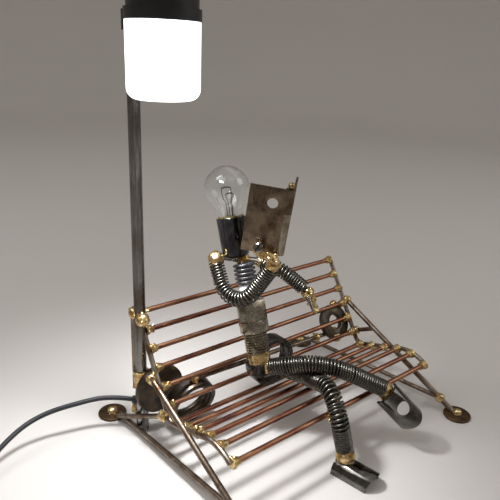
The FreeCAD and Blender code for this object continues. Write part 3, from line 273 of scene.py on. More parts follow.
def braze_finish(name="braze_brass"):
    """Rough brazing brass: bright tops, coppery patches, glassy dark flux in the hollows."""
    finish = Finish(name, Metallic=1.0)
    clean = tuple(colours().braze)
    patches = finish.noise(210.0, 4.0, 0.6, warp=0.6)
    metal = finish.ramp(patches, (0.30, srgb(128, 90, 52)), (0.46, clean), (0.60, srgb(222, 202, 152)),
                        (0.74, srgb(158, 112, 64)))
    lumps = finish.noise(620.0, 5.0, 0.62)
    flux = finish.ramp(lumps, (0.33, 0.85), (0.45, 0.0))
    finish.drive("Base Color", finish.mix(flux, metal, srgb(48, 34, 22)))
    finish.drive("Roughness", finish.mix(flux, finish.ramp(patches, (0.3, 0.42), (0.7, 0.22)), (0.5,) * 3))
    fine = finish.bump(lumps, 0.00022)
    finish.bump(finish.noise(2600.0, 3.0, 0.6), 0.00003, fine)
    return finish.material


def make_finishes():
    """Every finish, by the name that the pieces ask for."""
    paint = colours()
    steel, dark = tuple(paint.rod_steel), tuple(paint.dark_steel)
    brown, soot = srgb(112, 84, 66), srgb(34, 29, 26)
    made = {}

    def metal(name, *looks, **more):
        made[name] = worn_metal(name, *looks, **more).material

    metal("frame_steel", steel, brown, soot, (0.24, 0.44), 60.0, grimy=0.7, streak=(1.0, 0.35, 0.35))
    metal("rod_steel", srgb(150, 138, 124), srgb(98, 74, 58), soot, (0.28, 0.5), 75.0, grimy=0.75)
    metal("post_steel", srgb(136, 134, 130), srgb(96, 86, 76), srgb(40, 38, 38), (0.16, 0.34), 38.0, 1100.0,
          (1.0, 1.0, 0.05), 0.35)
    metal("post_foot_steel", srgb(176, 178, 180), srgb(112, 108, 102), soot, (0.16, 0.36), 80.0, 900.0,
          (1.0, 1.0, 0.2), 0.5)
    metal("spring_wire", tuple(paint.spring), srgb(92, 88, 82), srgb(26, 25, 25), (0.24, 0.38), 90.0, 900.0,
          grimy=0.5, relief=0.000003)
    metal("dark_steel", dark, srgb(104, 88, 70), srgb(18, 17, 17), (0.26, 0.5), 140.0, grimy=0.6)
    metal("hip_steel", srgb(98, 98, 96), srgb(64, 60, 56), srgb(18, 17, 17), (0.2, 0.4), 150.0, grimy=0.5)
    metal("foot_bronze", srgb(116, 92, 66), srgb(74, 60, 46), srgb(30, 26, 22), (0.32, 0.56), 120.0,
          grimy=0.6, relief=0.00005)
    metal("shoe_chrome", srgb(128, 127, 124), srgb(84, 80, 76), srgb(24, 22, 22), (0.08, 0.2), 90.0, 700.0,
          (0.2, 1.0, 1.0), 0.45, 0.000008)
    metal("sleeve_chrome", srgb(104, 104, 108), srgb(66, 66, 70), srgb(22, 22, 24), (0.10, 0.24), 110.0,
          900.0, (1.0, 1.0, 0.3), 0.4, 0.00001)
    metal("plug_nickel", srgb(184, 178, 162), srgb(126, 114, 94), srgb(38, 32, 28), (0.14, 0.32), 150.0,
          900.0, grimy=0.55, relief=0.00001)
    metal("rib_grey", srgb(128, 126, 124), srgb(98, 94, 92), srgb(56, 54, 56), (0.34, 0.5), 160.0, 900.0,
          grimy=0.4, relief=0.000006)
    # the lower knuckle is brighter than the hinge leaves: painted highlight of its curve as well as bare worn
    # steel at the roll
    metal("knuckle_highlight_and_wear", srgb(168, 160, 144), srgb(122, 108, 88), srgb(50, 42, 34), (0.16, 0.32), 120.0,
          900.0, (1.0, 1.0, 0.2), 0.4, 0.00001)
    metal("hinge_steel", tuple(paint.aged_steel), srgb(88, 72, 58), srgb(46, 36, 30), (0.24, 0.46), 95.0,
          700.0, (1.0, 1.0, 0.25), 0.6, 0.00004, 0.00002)
    metal("pin_brass", srgb(196, 176, 128), srgb(140, 118, 80), srgb(64, 50, 34), (0.16, 0.34), 200.0,
          grimy=0.4)
    metal("bar_steel", srgb(186, 184, 180), srgb(128, 120, 110), soot, (0.12, 0.3), 160.0, grimy=0.5)
    metal("rim_brass", srgb(206, 182, 120), srgb(150, 122, 74), srgb(60, 46, 30), (0.2, 0.36), 220.0,
          grimy=0.5)
    made["braze_brass"] = braze_finish()
    glaze = Finish("white_glaze", Roughness=0.12)
    cloud = glaze.noise(180.0, 4.0, 0.6)
    glaze.drive("Base Color", glaze.ramp(cloud, (0.35, srgb(196, 200, 208)), (0.65, srgb(226, 229, 232))))
    glaze.shader.inputs["Coat Weight"].default_value = 0.6
    glaze.shader.inputs["Coat Roughness"].default_value = 0.06
    glaze.bump(glaze.noise(320.0, 3.0), 0.00002)
    made["white_glaze"] = glaze.material
    # painted shade: a darker blue for the grooves between the insulator's ribs
    groove_shade = Finish("groove_shade_blue", Roughness=0.2)
    groove_shade.drive("Base Color", groove_shade.ramp(groove_shade.noise(260.0, 4.0, 0.6), (0.35, srgb(70, 80, 118)),
                                       (0.65, srgb(118, 126, 152))))
    groove_shade.shader.inputs["Coat Weight"].default_value = 0.5
    groove_shade.bump(groove_shade.noise(320.0, 3.0), 0.00002)
    made["groove_shade_blue"] = groove_shade.material
    black = Finish("cap_black", Specular_IOR_Level=0.5)
    grain = black.noise(2400.0, 3.0, 0.6)
    black.drive("Base Color", black.ramp(black.noise(90.0, 4.0), (0.35, srgb(20, 20, 21)),
                                         (0.7, srgb(34, 34, 36))))
    black.drive("Roughness", black.ramp(grain, (0.3, 0.32), (0.7, 0.5)))
    black.bump(grain, 0.000015)
    made["cap_black"] = black.material
    rubber = Finish("cord_black", Specular_IOR_Level=0.45)
    skin = rubber.noise(1500.0, 4.0, 0.6)
    rubber.drive("Base Color", rubber.mix(rubber.ramp(rubber.noise(140.0, 4.0), (0.45, 0.0), (0.7, 0.5)),
                                          tuple(paint.rubber), srgb(46, 46, 48)))
    rubber.drive("Roughness", rubber.ramp(skin, (0.3, 0.36), (0.7, 0.55)))
    rubber.bump(skin, 0.00002)
    made["cord_black"] = rubber.material
    frosted = Finish("frosted_diffuser", Base_Color=(0.93, 0.95, 1.0, 1.0), Roughness=0.35)
    body = frosted.span(frosted.noise(60.0, 3.0), 0.92, 1.0)
    frosted.drive("Emission Color", frosted.mix(body, (0.80, 0.86, 1.0), (0.96, 0.98, 1.0)))
    frosted.shader.inputs["Emission Strength"].default_value = sizes().glow
    frosted.bump(frosted.noise(1800.0, 2.0), 0.00001)
    made["frosted_diffuser"] = frosted.material
    white = Finish("led_body", Roughness=0.4)
    white.drive("Base Color", white.ramp(white.noise(200.0, 3.0), (0.3, srgb(228, 228, 226)),
                                         (0.7, srgb(244, 244, 242))))
    white.bump(white.noise(900.0, 2.0), 0.00001)
    made["led_body"] = white.material
    glass = Finish("bulb_glass", Base_Color=(0.97, 0.985, 0.985, 1.0), Transmission_Weight=1.0, IOR=1.46)
    smears = glass.noise(140.0, 4.0, 0.6, warp=0.5)
    glass.drive("Roughness", glass.ramp(smears, (0.45, 0.0), (0.75, 0.05)))
    glass.bump(glass.noise(95.0, 2.0, 0.4), 0.00003)
    made["bulb_glass"] = glass.material
    wire = Finish("filament_wire", Metallic=1.0)
    wire.drive("Base Color", wire.ramp(wire.noise(900.0, 3.0), (0.35, srgb(92, 92, 94)),
                                       (0.65, srgb(164, 162, 158))))
    wire.drive("Roughness", wire.ramp(wire.noise(1400.0, 2.0), (0.3, 0.25), (0.7, 0.4)))
    made["filament_wire"] = wire.material
    for index in range(4):
        made[f"slat_brown_{index}"] = slat_finish(f"slat_brown_{index}", index)
    return made


FINISHES = {}


def finish(name):
    """A finish by its name; the first call makes them all."""
    if not FINISHES:
        FINISHES.update(make_finishes())
    return FINISHES[name]


# Modelling helpers

def deselect():
    if bpy.context.object and bpy.context.object.mode != "OBJECT":
        bpy.ops.object.mode_set(mode="OBJECT")
    bpy.ops.object.select_all(action="DESELECT")


def pick(*things):
    """Only these objects are selected, and the first is active."""
    deselect()
    for thing in things:
        thing.select_set(True)
    bpy.context.view_layer.objects.active = things[0]


def named(name):
    """The active object under its own name, in object mode."""
    if bpy.context.object.mode != "OBJECT":
        bpy.ops.object.mode_set(mode="OBJECT")
    thing = bpy.context.object
    thing.name = name
    thing.data.name = name
    return thing


def modify(thing, kind, **settings):
    """Add a modifier and apply it."""
    pick(thing)
    made = thing.modifiers.new(kind.lower(), kind)
    for field, value in settings.items():
        setattr(made, field, value)
    bpy.ops.object.modifier_apply(modifier=made.name)


def settle(thing):
    """Put the object's place into its mesh, so that the object itself stands at the origin."""
    pick(thing)
    bpy.ops.object.transform_apply(location=True, rotation=True, scale=True)


def tidy_mesh(thing, gap=0.000001):
    """Merge doubles and turn the faces outwards."""
    pick(thing)
    bpy.ops.object.mode_set(mode="EDIT")
    bpy.ops.mesh.select_all(action="SELECT")
    bpy.ops.mesh.remove_doubles(threshold=gap)
    bpy.ops.mesh.normals_make_consistent(inside=False)
    bpy.ops.object.mode_set(mode="OBJECT")


def dress(thing, material, body="lamp", stands_for=(), smooth=math.radians(35)):
    """Finish a piece: smooth shading, its material, the body that it rides on and the nodes it stands for."""
    pick(thing)
    if smooth:
        bpy.ops.object.shade_smooth_by_angle(angle=smooth)
    thing.data.materials.clear()
    thing.data.materials.append(finish(material))
    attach(thing, body)
    if stands_for:
        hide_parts(*stands_for)
    return thing


def one_vertex(name, spot):
    """A mesh of one vertex, from a plane merged at its middle."""
    deselect()
    bpy.ops.mesh.primitive_plane_add(size=0.001, location=spot)
    bpy.ops.object.transform_apply(location=True, rotation=True, scale=True)
    bpy.ops.object.mode_set(mode="EDIT")
    bpy.ops.mesh.select_all(action="SELECT")
    bpy.ops.mesh.merge(type="CENTER")
    return named(name)


def chain(name, spots):
    """A vertex at the first spot, extruded from spot to spot."""
    thing = one_vertex(name, spots[0])
    bpy.ops.object.mode_set(mode="EDIT")
    bpy.ops.mesh.select_all(action="SELECT")
    for before, after in zip(spots, spots[1:]):
        bpy.ops.mesh.extrude_region_move(TRANSFORM_OT_translate={"value": Vector(after) - Vector(before)})
    return named(name)


def spun(name, outline, foot, up, steps=64, wall=0.0, level=0):
    """A turned piece: the outline of radius and height pairs in mm, spun about the axis up from the foot."""
    turn = Vector((0, 0, 1)).rotation_difference(up).to_matrix()
    spots = [foot + turn @ mm(radius, 0, height) for radius, height in outline]
    thing = chain(name, spots)
    bpy.ops.object.mode_set(mode="EDIT")
    bpy.ops.mesh.select_all(action="SELECT")
    bpy.ops.mesh.spin(steps=steps, angle=math.tau, center=foot, axis=up)
    named(name)
    tidy_mesh(thing)
    if wall:
        modify(thing, "SOLIDIFY", thickness=wall, offset=-1.0)
    if level:
        modify(thing, "SUBSURF", levels=level, render_levels=level)
    return thing


def rounded(corners, radius, steps=4):
    """An outline whose inner corners are rounded, for spun()."""
    made = [corners[0]]
    for before, corner, after in zip(corners, corners[1:], corners[2:]):
        one = Vector(before) - Vector(corner)
        two = Vector(after) - Vector(corner)
        reach = min(radius, one.length * 0.45, two.length * 0.45)
        start, end = Vector(corner) + one.normalized() * reach, Vector(corner) + two.normalized() * reach
        for step in range(steps + 1):
            share = step / steps
            bend = start * (1 - share) ** 2 + Vector(corner) * 2 * share * (1 - share) + end * share ** 2
            made.append(tuple(bend))
    made.append(corners[-1])
    return made


def cad_copy(name, node):
    """A new piece that starts as a merged copy of a node's solid."""
    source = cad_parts[node]
    deselect()
    thing = bpy.data.objects.new(name, source.data.copy())
    bpy.context.scene.collection.objects.link(thing)
    thing.data.name = name
    tidy_mesh(thing, 0.0000005)
    return thing


# Limbs: springs wound on bent lines

LIMBS = {
    "leg_spring_right": ("leg_wire", 5.1, (30, 26, 26, 26), [
        (-20.7, -2.5, 43.6), (-14.8, -11.1, 47.3), (-6.2, -21.6, 50.4), (2.4, -30.0, 49.2),
        (11.1, -37.1, 45.2), (26.4, -49.1, 36.2)]),
    "leg_spring_left": ("leg_wire", 5.1, (30, 26, 13, 15), [
        (-6.8, 1.0, 36.2), (-4.3, -11.2, 37.4), (-4.8, -26.3, 40.2), (-8.6, -39.0, 44.8),
        (-11.8, -50.0, 32.0), (-7.7, -53.2, 10.8)]),
    "arm_spring_right": ("arm_wire", 4.5, (12.5,), [
        (-38.5, 28.6, 102.6), (-40.1, 10.9, 73.3), (-27.2, -6.2, 108.0)]),
    "arm_spring_left": ("arm_wire", 4.5, (22,), [
        (-12.1, 19.2, 100.1), (-4.5, 9.5, 96.5), (4.6, 0.2, 86.6)]),
}
TURN_STEPS = 20


def limb_path(name, corners, bends):
    """A Bezier line down the middle of a limb, and its stretches as pairs of length and bend radius."""
    corners = [mm(*corner) for corner in corners]
    knots = [(corners[0], corners[1] - corners[0], 0.001)]
    stretches = []
    for before, corner, after, bend in zip(corners, corners[1:], corners[2:], bends):
        back, ahead = (before - corner).normalized(), (after - corner).normalized()
        turn = math.pi - back.angle(ahead)
        reach = bend * MM * math.tan(turn / 2)
        handle = bend * MM * math.tan(turn / 4) * 4 / 3
        start, end = corner + back * reach, corner + ahead * reach
        stretches += [((start - knots[-1][0]).length, None), (bend * MM * turn, bend * MM)]
        knots += [(start, -back, handle), (end, ahead, handle)]
    stretches.append(((corners[-1] - knots[-1][0]).length, None))
    knots.append((corners[-1], corners[-1] - corners[-2], 0.001))
    deselect()
    bpy.ops.curve.primitive_bezier_curve_add()
    path = named(name + "_path")
    bpy.ops.object.location_clear()
    spline = path.data.splines[0]
    spline.bezier_points.add(len(knots) - 2)
    path.data.resolution_u = 32
    for point, (spot, way, handle) in zip(spline.bezier_points, knots):
        way = way.normalized() * handle
        point.handle_left_type = point.handle_right_type = "FREE"
        point.co, point.handle_left, point.handle_right = spot, spot - way, spot + way
    for index in range(0, len(knots), 2):
        first, second = spline.bezier_points[index], spline.bezier_points[index + 1]
        run = (second.co - first.co) / 3
        first.handle_right, second.handle_left = first.co + run, second.co - run
    return path, stretches


def coiled(name, wire, slack, outside, bends, corners):
    """A spring: evenly wound on the straight, and fanned out round each bend."""
    path, stretches = limb_path(name, corners, bends)
    middle = outside * MM - wire / 2
    close = wire * slack
    marks = [(0.0, 0.0)]
    for length, bend in stretches:
        pitch = close * bend / (bend - middle) if bend else close
        marks.append((marks[-1][0] + length / pitch, marks[-1][1] + length))
    turns = math.ceil(marks[-1][0])
    thing = one_vertex(name, (0, 0, middle))
    modify(thing, "SCREW", axis="X", angle=math.tau, iterations=turns, steps=TURN_STEPS,
           render_steps=TURN_STEPS, screw_offset=1.0, use_merge_vertices=False)
    for vertex in thing.data.vertices:
        turn = vertex.co.x * marks[-1][0] / turns
        for (first, near), (last, far) in zip(marks, marks[1:]):
            if turn <= last + 1e-6:
                vertex.co.x = near + (far - near) * (turn - first) / (last - first)
                break
    modify(thing, "CURVE", object=path, deform_axis="POS_X")
    bpy.ops.object.convert(target="CURVE")
    line = bpy.context.object
    line.data.bevel_depth = wire / 2
    line.data.bevel_resolution = 2
    line.data.use_fill_caps = True
    bpy.ops.object.convert(target="MESH")
    thing = named(name + "_wound")
    bpy.data.objects.remove(path)
    tidy_mesh(thing)
    return thing


def make_springs():
    size = sizes()
    for name, (wire, outside, bends, corners) in LIMBS.items():
        slack = getattr(size, wire.replace("wire", "slack"))
        thing = coiled(name, getattr(size, wire), slack, outside, bends, corners)
        dress(thing, "spring_wire", stands_for=(name,), smooth=math.radians(60))


# Braze: every bead as rough lumps

def cloud(name, scale):
    texture = bpy.data.textures.get(name) or bpy.data.textures.new(name, "CLOUDS")
    texture.noise_scale = scale
    texture.noise_depth = 3
    return texture


def lumped(thing, dabs, seed, low=0.0005, high=0.0013, strength=0.0007, spread=0.0):
    """Join small dabs to the skin and wrap it all in one rough skin."""
    chance = random.Random(seed)
    spots = [vertex.co.copy() for vertex in thing.data.vertices]
    chosen = [chance.choice(spots) for _ in range(dabs)]
    pick(thing)
    bpy.ops.object.mode_set(mode="EDIT")
    if spread:
        bpy.ops.mesh.select_all(action="SELECT")
        bpy.ops.transform.shrink_fatten(value=spread)
    for spot in chosen:
        bpy.ops.mesh.primitive_ico_sphere_add(subdivisions=2, radius=chance.uniform(low, high), location=spot)
    bpy.ops.object.mode_set(mode="OBJECT")
    thing.data.remesh_voxel_size = sizes().braze_grain
    bpy.ops.object.voxel_remesh()
    modify(thing, "SMOOTH", factor=0.5, iterations=4)
    modify(thing, "DISPLACE", texture=cloud("braze_lumps", 0.0022), texture_coords="LOCAL", strength=strength,
           mid_level=0.5)
    return thing


def make_braze():
    thing = cad_copy("braze_lumps", "braze_beads")
    lumped(thing, 420, 11, 0.0004, 0.00115, spread=0.0002)
    dress(thing, "braze_brass", stands_for=("braze_beads",), smooth=math.radians(80))


# Hands

def skinned(name, spots):
    """A limb-like lump from spots and radii in mm: a chain with a skin round it."""
    thing = chain(name, [mm(*spot) for spot, _ in spots])
    made = thing.modifiers.new("skin", "SKIN")
    made.use_smooth_shade = True
    for vertex, (_, radius) in zip(thing.data.skin_vertices[0].data, spots):
        vertex.radius = (radius * MM, radius * MM)
    pick(thing)
    bpy.ops.object.modifier_apply(modifier=made.name)
    modify(thing, "SUBSURF", levels=2, render_levels=2)
    tidy_mesh(thing)
    return thing


HANDS = {
    "hand_right": [((-27.9, -5.2, 106.0), 4.1), ((-26.6, -7.2, 110.4), 4.6), ((-28.2, -7.0, 114.6), 3.3),
                   ((-31.4, -4.2, 117.0), 2.6), ((-35.6, -0.2, 117.4), 2.1)],
    "hand_left": [((5.0, 0.0, 86.3), 4.4), ((7.4, -2.4, 82.0), 4.0), ((9.0, -2.9, 78.4), 2.7),
                  ((9.0, -5.4, 74.6), 2.1), ((7.9, -8.2, 72.1), 1.5)],
}


def make_hands():
    for seed, (name, spots) in enumerate(HANDS.items()):
        thing = lumped(skinned(name + "_braze", spots), 26, seed, 0.0006, 0.0015)
        dress(thing, "braze_brass", stands_for=(name,), smooth=math.radians(80))
    screw_way = Vector((-0.856, -0.457, 0.242)).normalized()
    seat = mm(-34.6, -3.5, 120.2)
    screw = spun("hand_screw", rounded([(0.01, -5), (1.5, -5), (1.5, 0), (2.8, 0), (2.8, 1.1), (1.9, 1.7),
                                        (0.01, 1.8)], 0.35), seat, screw_way, 48)
    deselect()
    bpy.ops.mesh.primitive_cube_add(size=1.0)
    blade = named("screw_slot")
    turn = Vector((0, 0, 1)).rotation_difference(screw_way).to_matrix().to_4x4()
    blade.matrix_world = (Matrix.Translation(seat + screw_way * 0.0017) @ turn
                          @ Matrix.Diagonal((0.008, 0.0009, 0.0018, 1.0)))
    modify(screw, "BOOLEAN", operation="DIFFERENCE", object=blade, solver="EXACT")
    bpy.data.objects.remove(blade)
    dress(screw, "bar_steel")
    thumb = skinned("hand_left_thumb", [((4.7, -3.8, 83.2), 1.1), ((4.5, -6.4, 79.6), 0.95),
                                        ((4.1, -9.6, 75.2), 0.8)])
    dress(thumb, "bar_steel")


# Shoes: half tubes with a round hole and a hollowed toe

SHOE_LENGTH, SHOE_RADIUS, SHOE_WALL = 0.024, 0.0078, 0.0013
SHOES = {
    "shoe_left": ((-9.3, -50.5, 0), (-4.9, -74.5, 0), (0, 0, 1)),
    "shoe_right": ((27.6, -49.6, 33.2), (38.7, -63.6, 16.8), (-0.45, -0.70, 0.45)),
}


def cutter(radius, depth, spot, turn=(0, 0, 0)):
    deselect()
    bpy.ops.mesh.primitive_cylinder_add(vertices=64, radius=radius, depth=depth, location=spot, rotation=turn)
    return named("cutter")


def cut_with(thing, tool):
    modify(thing, "BOOLEAN", operation="DIFFERENCE", object=tool, solver="EXACT")
    bpy.data.objects.remove(tool)


def make_shoes():
    for name, (heel, toe, top) in SHOES.items():
        heel, toe = mm(*heel), mm(*toe)
        ahead = (toe - heel).normalized()
        side = Vector(top).cross(ahead).normalized()
        place = Matrix((ahead, side, ahead.cross(side))).transposed().to_4x4()
        place.translation = heel
        deselect()
        bpy.ops.mesh.primitive_cylinder_add(vertices=72, radius=SHOE_RADIUS, depth=SHOE_LENGTH,
                                            end_fill_type="NOTHING", location=(SHOE_LENGTH / 2, 0, 0),
                                            rotation=(0, math.pi / 2, 0))
        bpy.ops.object.transform_apply(location=True, rotation=True, scale=True)
        bpy.ops.object.mode_set(mode="EDIT")
        bpy.ops.mesh.select_all(action="SELECT")
        bpy.ops.mesh.bisect(plane_co=(0, 0, 0), plane_no=(0, 0, 1), clear_inner=True)
        thing = named(name + "_tube")
        tidy_mesh(thing)
        modify(thing, "SOLIDIFY", thickness=SHOE_WALL, offset=-1.0)
        cut_with(thing, cutter(0.004, 0.03, (0.011, 0, 0.0075)))
        cut_with(thing, cutter(SHOE_RADIUS * 1.6, 0.05, (SHOE_LENGTH + SHOE_RADIUS * 1.25, 0, 0),
                               (math.pi / 2, 0, 0)))
        modify(thing, "BEVEL", width=0.00025, segments=3, limit_method="ANGLE", angle_limit=math.radians(40))
        thing.matrix_world = place
        settle(thing)
        dress(thing, "shoe_chrome", stands_for=(name,), smooth=math.radians(40))


# Head: the bulb, and the wires inside it

def make_bulb():
    low = NECK + HEAD_UP * 0.0225
    glass = spun("head_bulb", [
        (7.0, -0.8), (7.1, 0.6), (7.3, 2.2), (8.1, 4.6), (9.6, 7.4), (11.3, 10.2), (12.6, 13.2),
        (13.05, 16.2), (12.6, 19.4), (11.2, 22.5), (8.8, 25.2), (5.6, 27.5), (2.4, 28.6),
        (0.001, 28.75)], low, HEAD_UP, 64, sizes().glass_wall, 1)
    dress(glass, "bulb_glass", stands_for=("head_glass",), smooth=math.radians(180))
    stem = spun("bulb_stem", rounded([(0.001, -0.6), (2.9, -0.6), (2.3, 4.5), (1.5, 7.2), (0.001, 7.6)], 0.8),
                low, HEAD_UP, 32)
    dress(stem, "bulb_glass", smooth=math.radians(180))
    turn = Vector((0, 0, 1)).rotation_difference(HEAD_UP).to_matrix()
    wires = []
    for feet, tops in (((-1.2, 0.4), (-3.4, 0.9)), ((1.2, 0.4), (3.4, 0.9)), ((-0.6, -0.5), (-2.6, -1.6)),
                       ((0.6, -0.5), (2.6, -1.6))):
        height = 16.0 if tops[1] > 0 else 12.5
        spots = [(feet[0], feet[1], 0.0), (feet[0], feet[1], 7.0), (tops[0] * 0.9, tops[1], 10.5),
                 (tops[0], tops[1], height - 1.0), (tops[0] * 0.96, tops[1], height)]
        wires.append(tube_along("bulb_wire", [low + turn @ mm(*spot) for spot in spots], 0.00026))
    for reach, across, height in ((3.3, 0.9, 16.0), (2.5, -1.6, 12.5)):
        coil = []
        for step in range(22 * 10 + 1):
            share = step / 220
            swing = math.tau * 22 * share
            sag = math.sin(math.pi * share) * 0.5
            coil.append(low + turn @ mm(-reach + reach * 2 * share, across + math.cos(swing) * 0.42,
                                        height + sag + math.sin(swing) * 0.42))
        wires.append(tube_along("bulb_wire", coil, 0.00008, order=2))
    pick(*wires)
    bpy.ops.object.join()
    thing = named("bulb_filament")
    dress(thing, "filament_wire", stands_for=("head_filament",), smooth=math.radians(60))


def tube_along(name, spots, radius, order=3):
    """A round wire along the spots, as a mesh."""
    deselect()
    bpy.ops.curve.primitive_nurbs_path_add()
    line = named(name)
    bpy.ops.object.location_clear()
    spline = line.data.splines[0]
    spline.points.add(len(spots) - len(spline.points))
    for point, spot in zip(spline.points, spots):
        point.co = (*spot, 1.0)
    spline.order_u = order
    spline.use_endpoint_u = True
    line.data.bevel_depth = radius
    line.data.bevel_resolution = 1
    line.data.use_fill_caps = True
    spline.resolution_u = 6 if order > 2 else 1
    bpy.ops.object.convert(target="MESH")
    return named(name)


# Head sleeve and the hinge's rolled knuckles

PIN_FOOT, PIN_UP = mm(-23.3, -7.0, 115.4), Vector((0.0, -0.163, 0.987)).normalized()
ROLL_BORE, ROLL_RADIUS = 1.3, 2.58


def make_sleeve():
    sleeve = spun("head_socket", rounded([(0.001, 0), (7.7, 0), (8.5, 21.7), (7.62, 21.7), (7.6, 1.6),
                                          (0.001, 1.6)], 0.3), NECK, HEAD_UP, 96)
    dress(sleeve, "sleeve_chrome", stands_for=("head_sleeve",), smooth=math.radians(60))
    # the lower knuckle's brighter steel is painted highlight of its curve as well as bare worn steel
    for name, low, high, skin, body in (("knuckle_low", 0.1, 23.9, "knuckle_highlight_and_wear", "lamp"),
                                        ("knuckle_high", 24.1, 36.9, "hinge_steel", "book_leaf")):
        wall = [(ROLL_BORE, low), (ROLL_RADIUS, low), (ROLL_RADIUS, high), (ROLL_BORE, high)]
        roll = spun(name, rounded(wall, 0.15), PIN_FOOT, PIN_UP, 48)
        dress(roll, skin, body, smooth=math.radians(60))


# Torso: the ribbed insulator

# the ribs start this high on it, and a rib's outside lies beyond this radius
RIBS_START, RIB_EDGE = 0.0096, 0.0056

def make_insulator():
    low = TORSO_FOOT + TORSO_UP * 0.044
    outline = [(0.001, 0), (4.6, 0), (5.0, 0.4), (5.0, 10.0)]
    for turn in range(5):
        foot = 10.0 + 2.4 * turn
        outline += [(5.05, foot + 0.25), (6.35, foot + 0.65), (6.4, foot + 1.2), (6.35, foot + 1.75),
                    (5.05, foot + 2.15)]
    outline += [(5.0, 22.0), (4.4, 22.0), (0.001, 22.0)]
    thing = spun("insulator_glazed", rounded(outline, 0.4, 3), low, TORSO_UP, 64)
    dress(thing, "white_glaze", stands_for=("plug_insulator",))
    thing.data.materials.append(finish("rib_grey"))
    # the grooves between the ribs take a darker blue, which is painted shade; the rib outsides take rib_grey
    thing.data.materials.append(finish("groove_shade_blue"))
    for face in thing.data.polygons:
        rise = (face.center - low).dot(TORSO_UP)
        if rise > RIBS_START:
            out = (face.center - low - TORSO_UP * rise).length
            face.material_index = 1 if out > RIB_EDGE else 2


# Edges: sheet and turned pieces with their corners taken off

CRISP = {
    "book_front": (0.00018, "hinge_steel", "aged_steel", "lamp"),
    "book_back": (0.00018, "hinge_steel", "aged_steel", "book_leaf"),
    "foot_discs": (0.0004, "foot_bronze", "foot_bronze", "lamp"),
    "washer_right": (0.0003, "dark_steel", "dark_steel", "lamp"),
    "disc_left": (0.0004, "dark_steel", "dark_steel", "lamp"),
    "bearing_race": (0.0004, "dark_steel", "dark_steel", "lamp"),
    "hip_ring": (0.0004, "hip_steel", "dark_steel", "lamp"),
    "hip_block": (0.0005, "hip_steel", "dark_steel", "lamp"),
    "plug_shell": (0.0003, "plug_nickel", "plug_steel", "lamp"),
    "lamp_clamp": (0.0003, "cap_black", "lamp_black", "lamp"),
    "shoulder_bar": (0.0003, "bar_steel", "plated_steel", "lamp"),
}


def make_crisp():
    for node, (width, material, slot, body) in CRISP.items():
        thing = cad_copy(node + "_edged", node)
        modify(thing, "DECIMATE", decimate_type="DISSOLVE", angle_limit=math.radians(0.4))
        modify(thing, "BEVEL", width=width, segments=2, limit_method="ANGLE", angle_limit=math.radians(42),
               use_clamp_overlap=True)
        dress(thing, material, body, stands_for=(node,), smooth=math.radians(38))


# Cord

CORD_ROUTE = [(-95.0, 55.0, 21.5), (-113.0, 60.0, 20.5), (-127.0, 63.5, 19.0), (-141.0, 63.0, 17.0),
              (-157.0, 57.5, 12.0), (-172.0, 48.0, 5.5)]
COIL_MIDDLE, COIL_START = (-207.5, 48.9), math.radians(-50.2)
COIL_RADIUS, COIL_LOOPS, COIL_STEP = 16.8, 4, 3.45
PLUG_SPOT, PLUG_WAY = (-201.106, 36.851, 17.65), (-0.768, -0.640, 0.0)
# control points stand this much outside the round line that their spline makes, at twelve to a turn
OUTSIDE_LINE = 1.035


def coil_points(cord_radius):
    """Control points of the put-away turns: in, out and in again over each other, then up to the plug."""
    outer = COIL_RADIUS + COIL_STEP * COIL_LOOPS / 2
    drift, spots, radius, way = COIL_STEP / 4, [], outer, -1
    for layer, quarters in enumerate([COIL_LOOPS * 4, COIL_LOOPS * 4, COIL_LOOPS * 4, 4]):
        level = cord_radius + layer * COIL_STEP
        for _ in range(quarters):
            spots.append((radius, level))
            radius += way * drift
        spots.append((radius, level))
        if layer < 3:
            spots.append((radius + way * drift, level + COIL_STEP / 2))
        way = -way
    lift = 4.5 + cord_radius
    spots += [(radius, level + lift / 2), (radius, level + lift)]
    made = []
    for index, ((near, low), (far, high)) in enumerate(zip(spots, spots[1:])):
        for third in range(3):
            share = third / 3
            angle = COIL_START - (index + share) * math.pi / 2
            reach = (near + (far - near) * share) * OUTSIDE_LINE
            made.append((COIL_MIDDLE[0] + math.cos(angle) * reach, COIL_MIDDLE[1] + math.sin(angle) * reach,
                         low + (high - low) * share))
    return made


def make_cord():
    radius = sizes().cord_diameter / 2
    flow = Vector((math.sin(COIL_START), -math.cos(COIL_START), 0))
    turns = coil_points(radius / MM)
    start = Vector(turns[0]) - flow * 2.8
    onto = Vector(PLUG_SPOT) - Vector(PLUG_WAY) * 2.8
    points = [CORD_EXIT / MM, *CORD_ROUTE, start - flow * 11.0, start, *turns, onto, PLUG_SPOT]
    deselect()
    bpy.ops.curve.primitive_nurbs_path_add()
    line = named("cord_line")
    bpy.ops.object.location_clear()
    spline = line.data.splines[0]
    spline.points.add(len(points) - len(spline.points))
    for point, spot in zip(spline.points, points):
        point.co = (*mm(*spot), 1.0)
    spline.order_u = 3
    spline.use_endpoint_u = True
    spline.resolution_u = 6
    line.data.bevel_depth = radius
    line.data.bevel_resolution = 4
    line.data.use_fill_caps = True
    line.data.materials.append(finish("cord_black"))
    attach(line, "lamp")
    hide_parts("cord_lead", "cord_coil")
    way = Vector(PLUG_WAY).normalized()
    grip = spun("plug_body", rounded([
        (0.001, 0), (2.3, 0), (3.4, 3.4), (4.2, 6.6), (4.5, 8.2), (4.5, 16.2), (4.1, 17.0),
        (0.001, 17.0)], 0.8), mm(*PLUG_SPOT), way, 48)
    dress(grip, "cord_black", stands_for=("plug_grip",))


# Solids that stay as they are, each with its finish

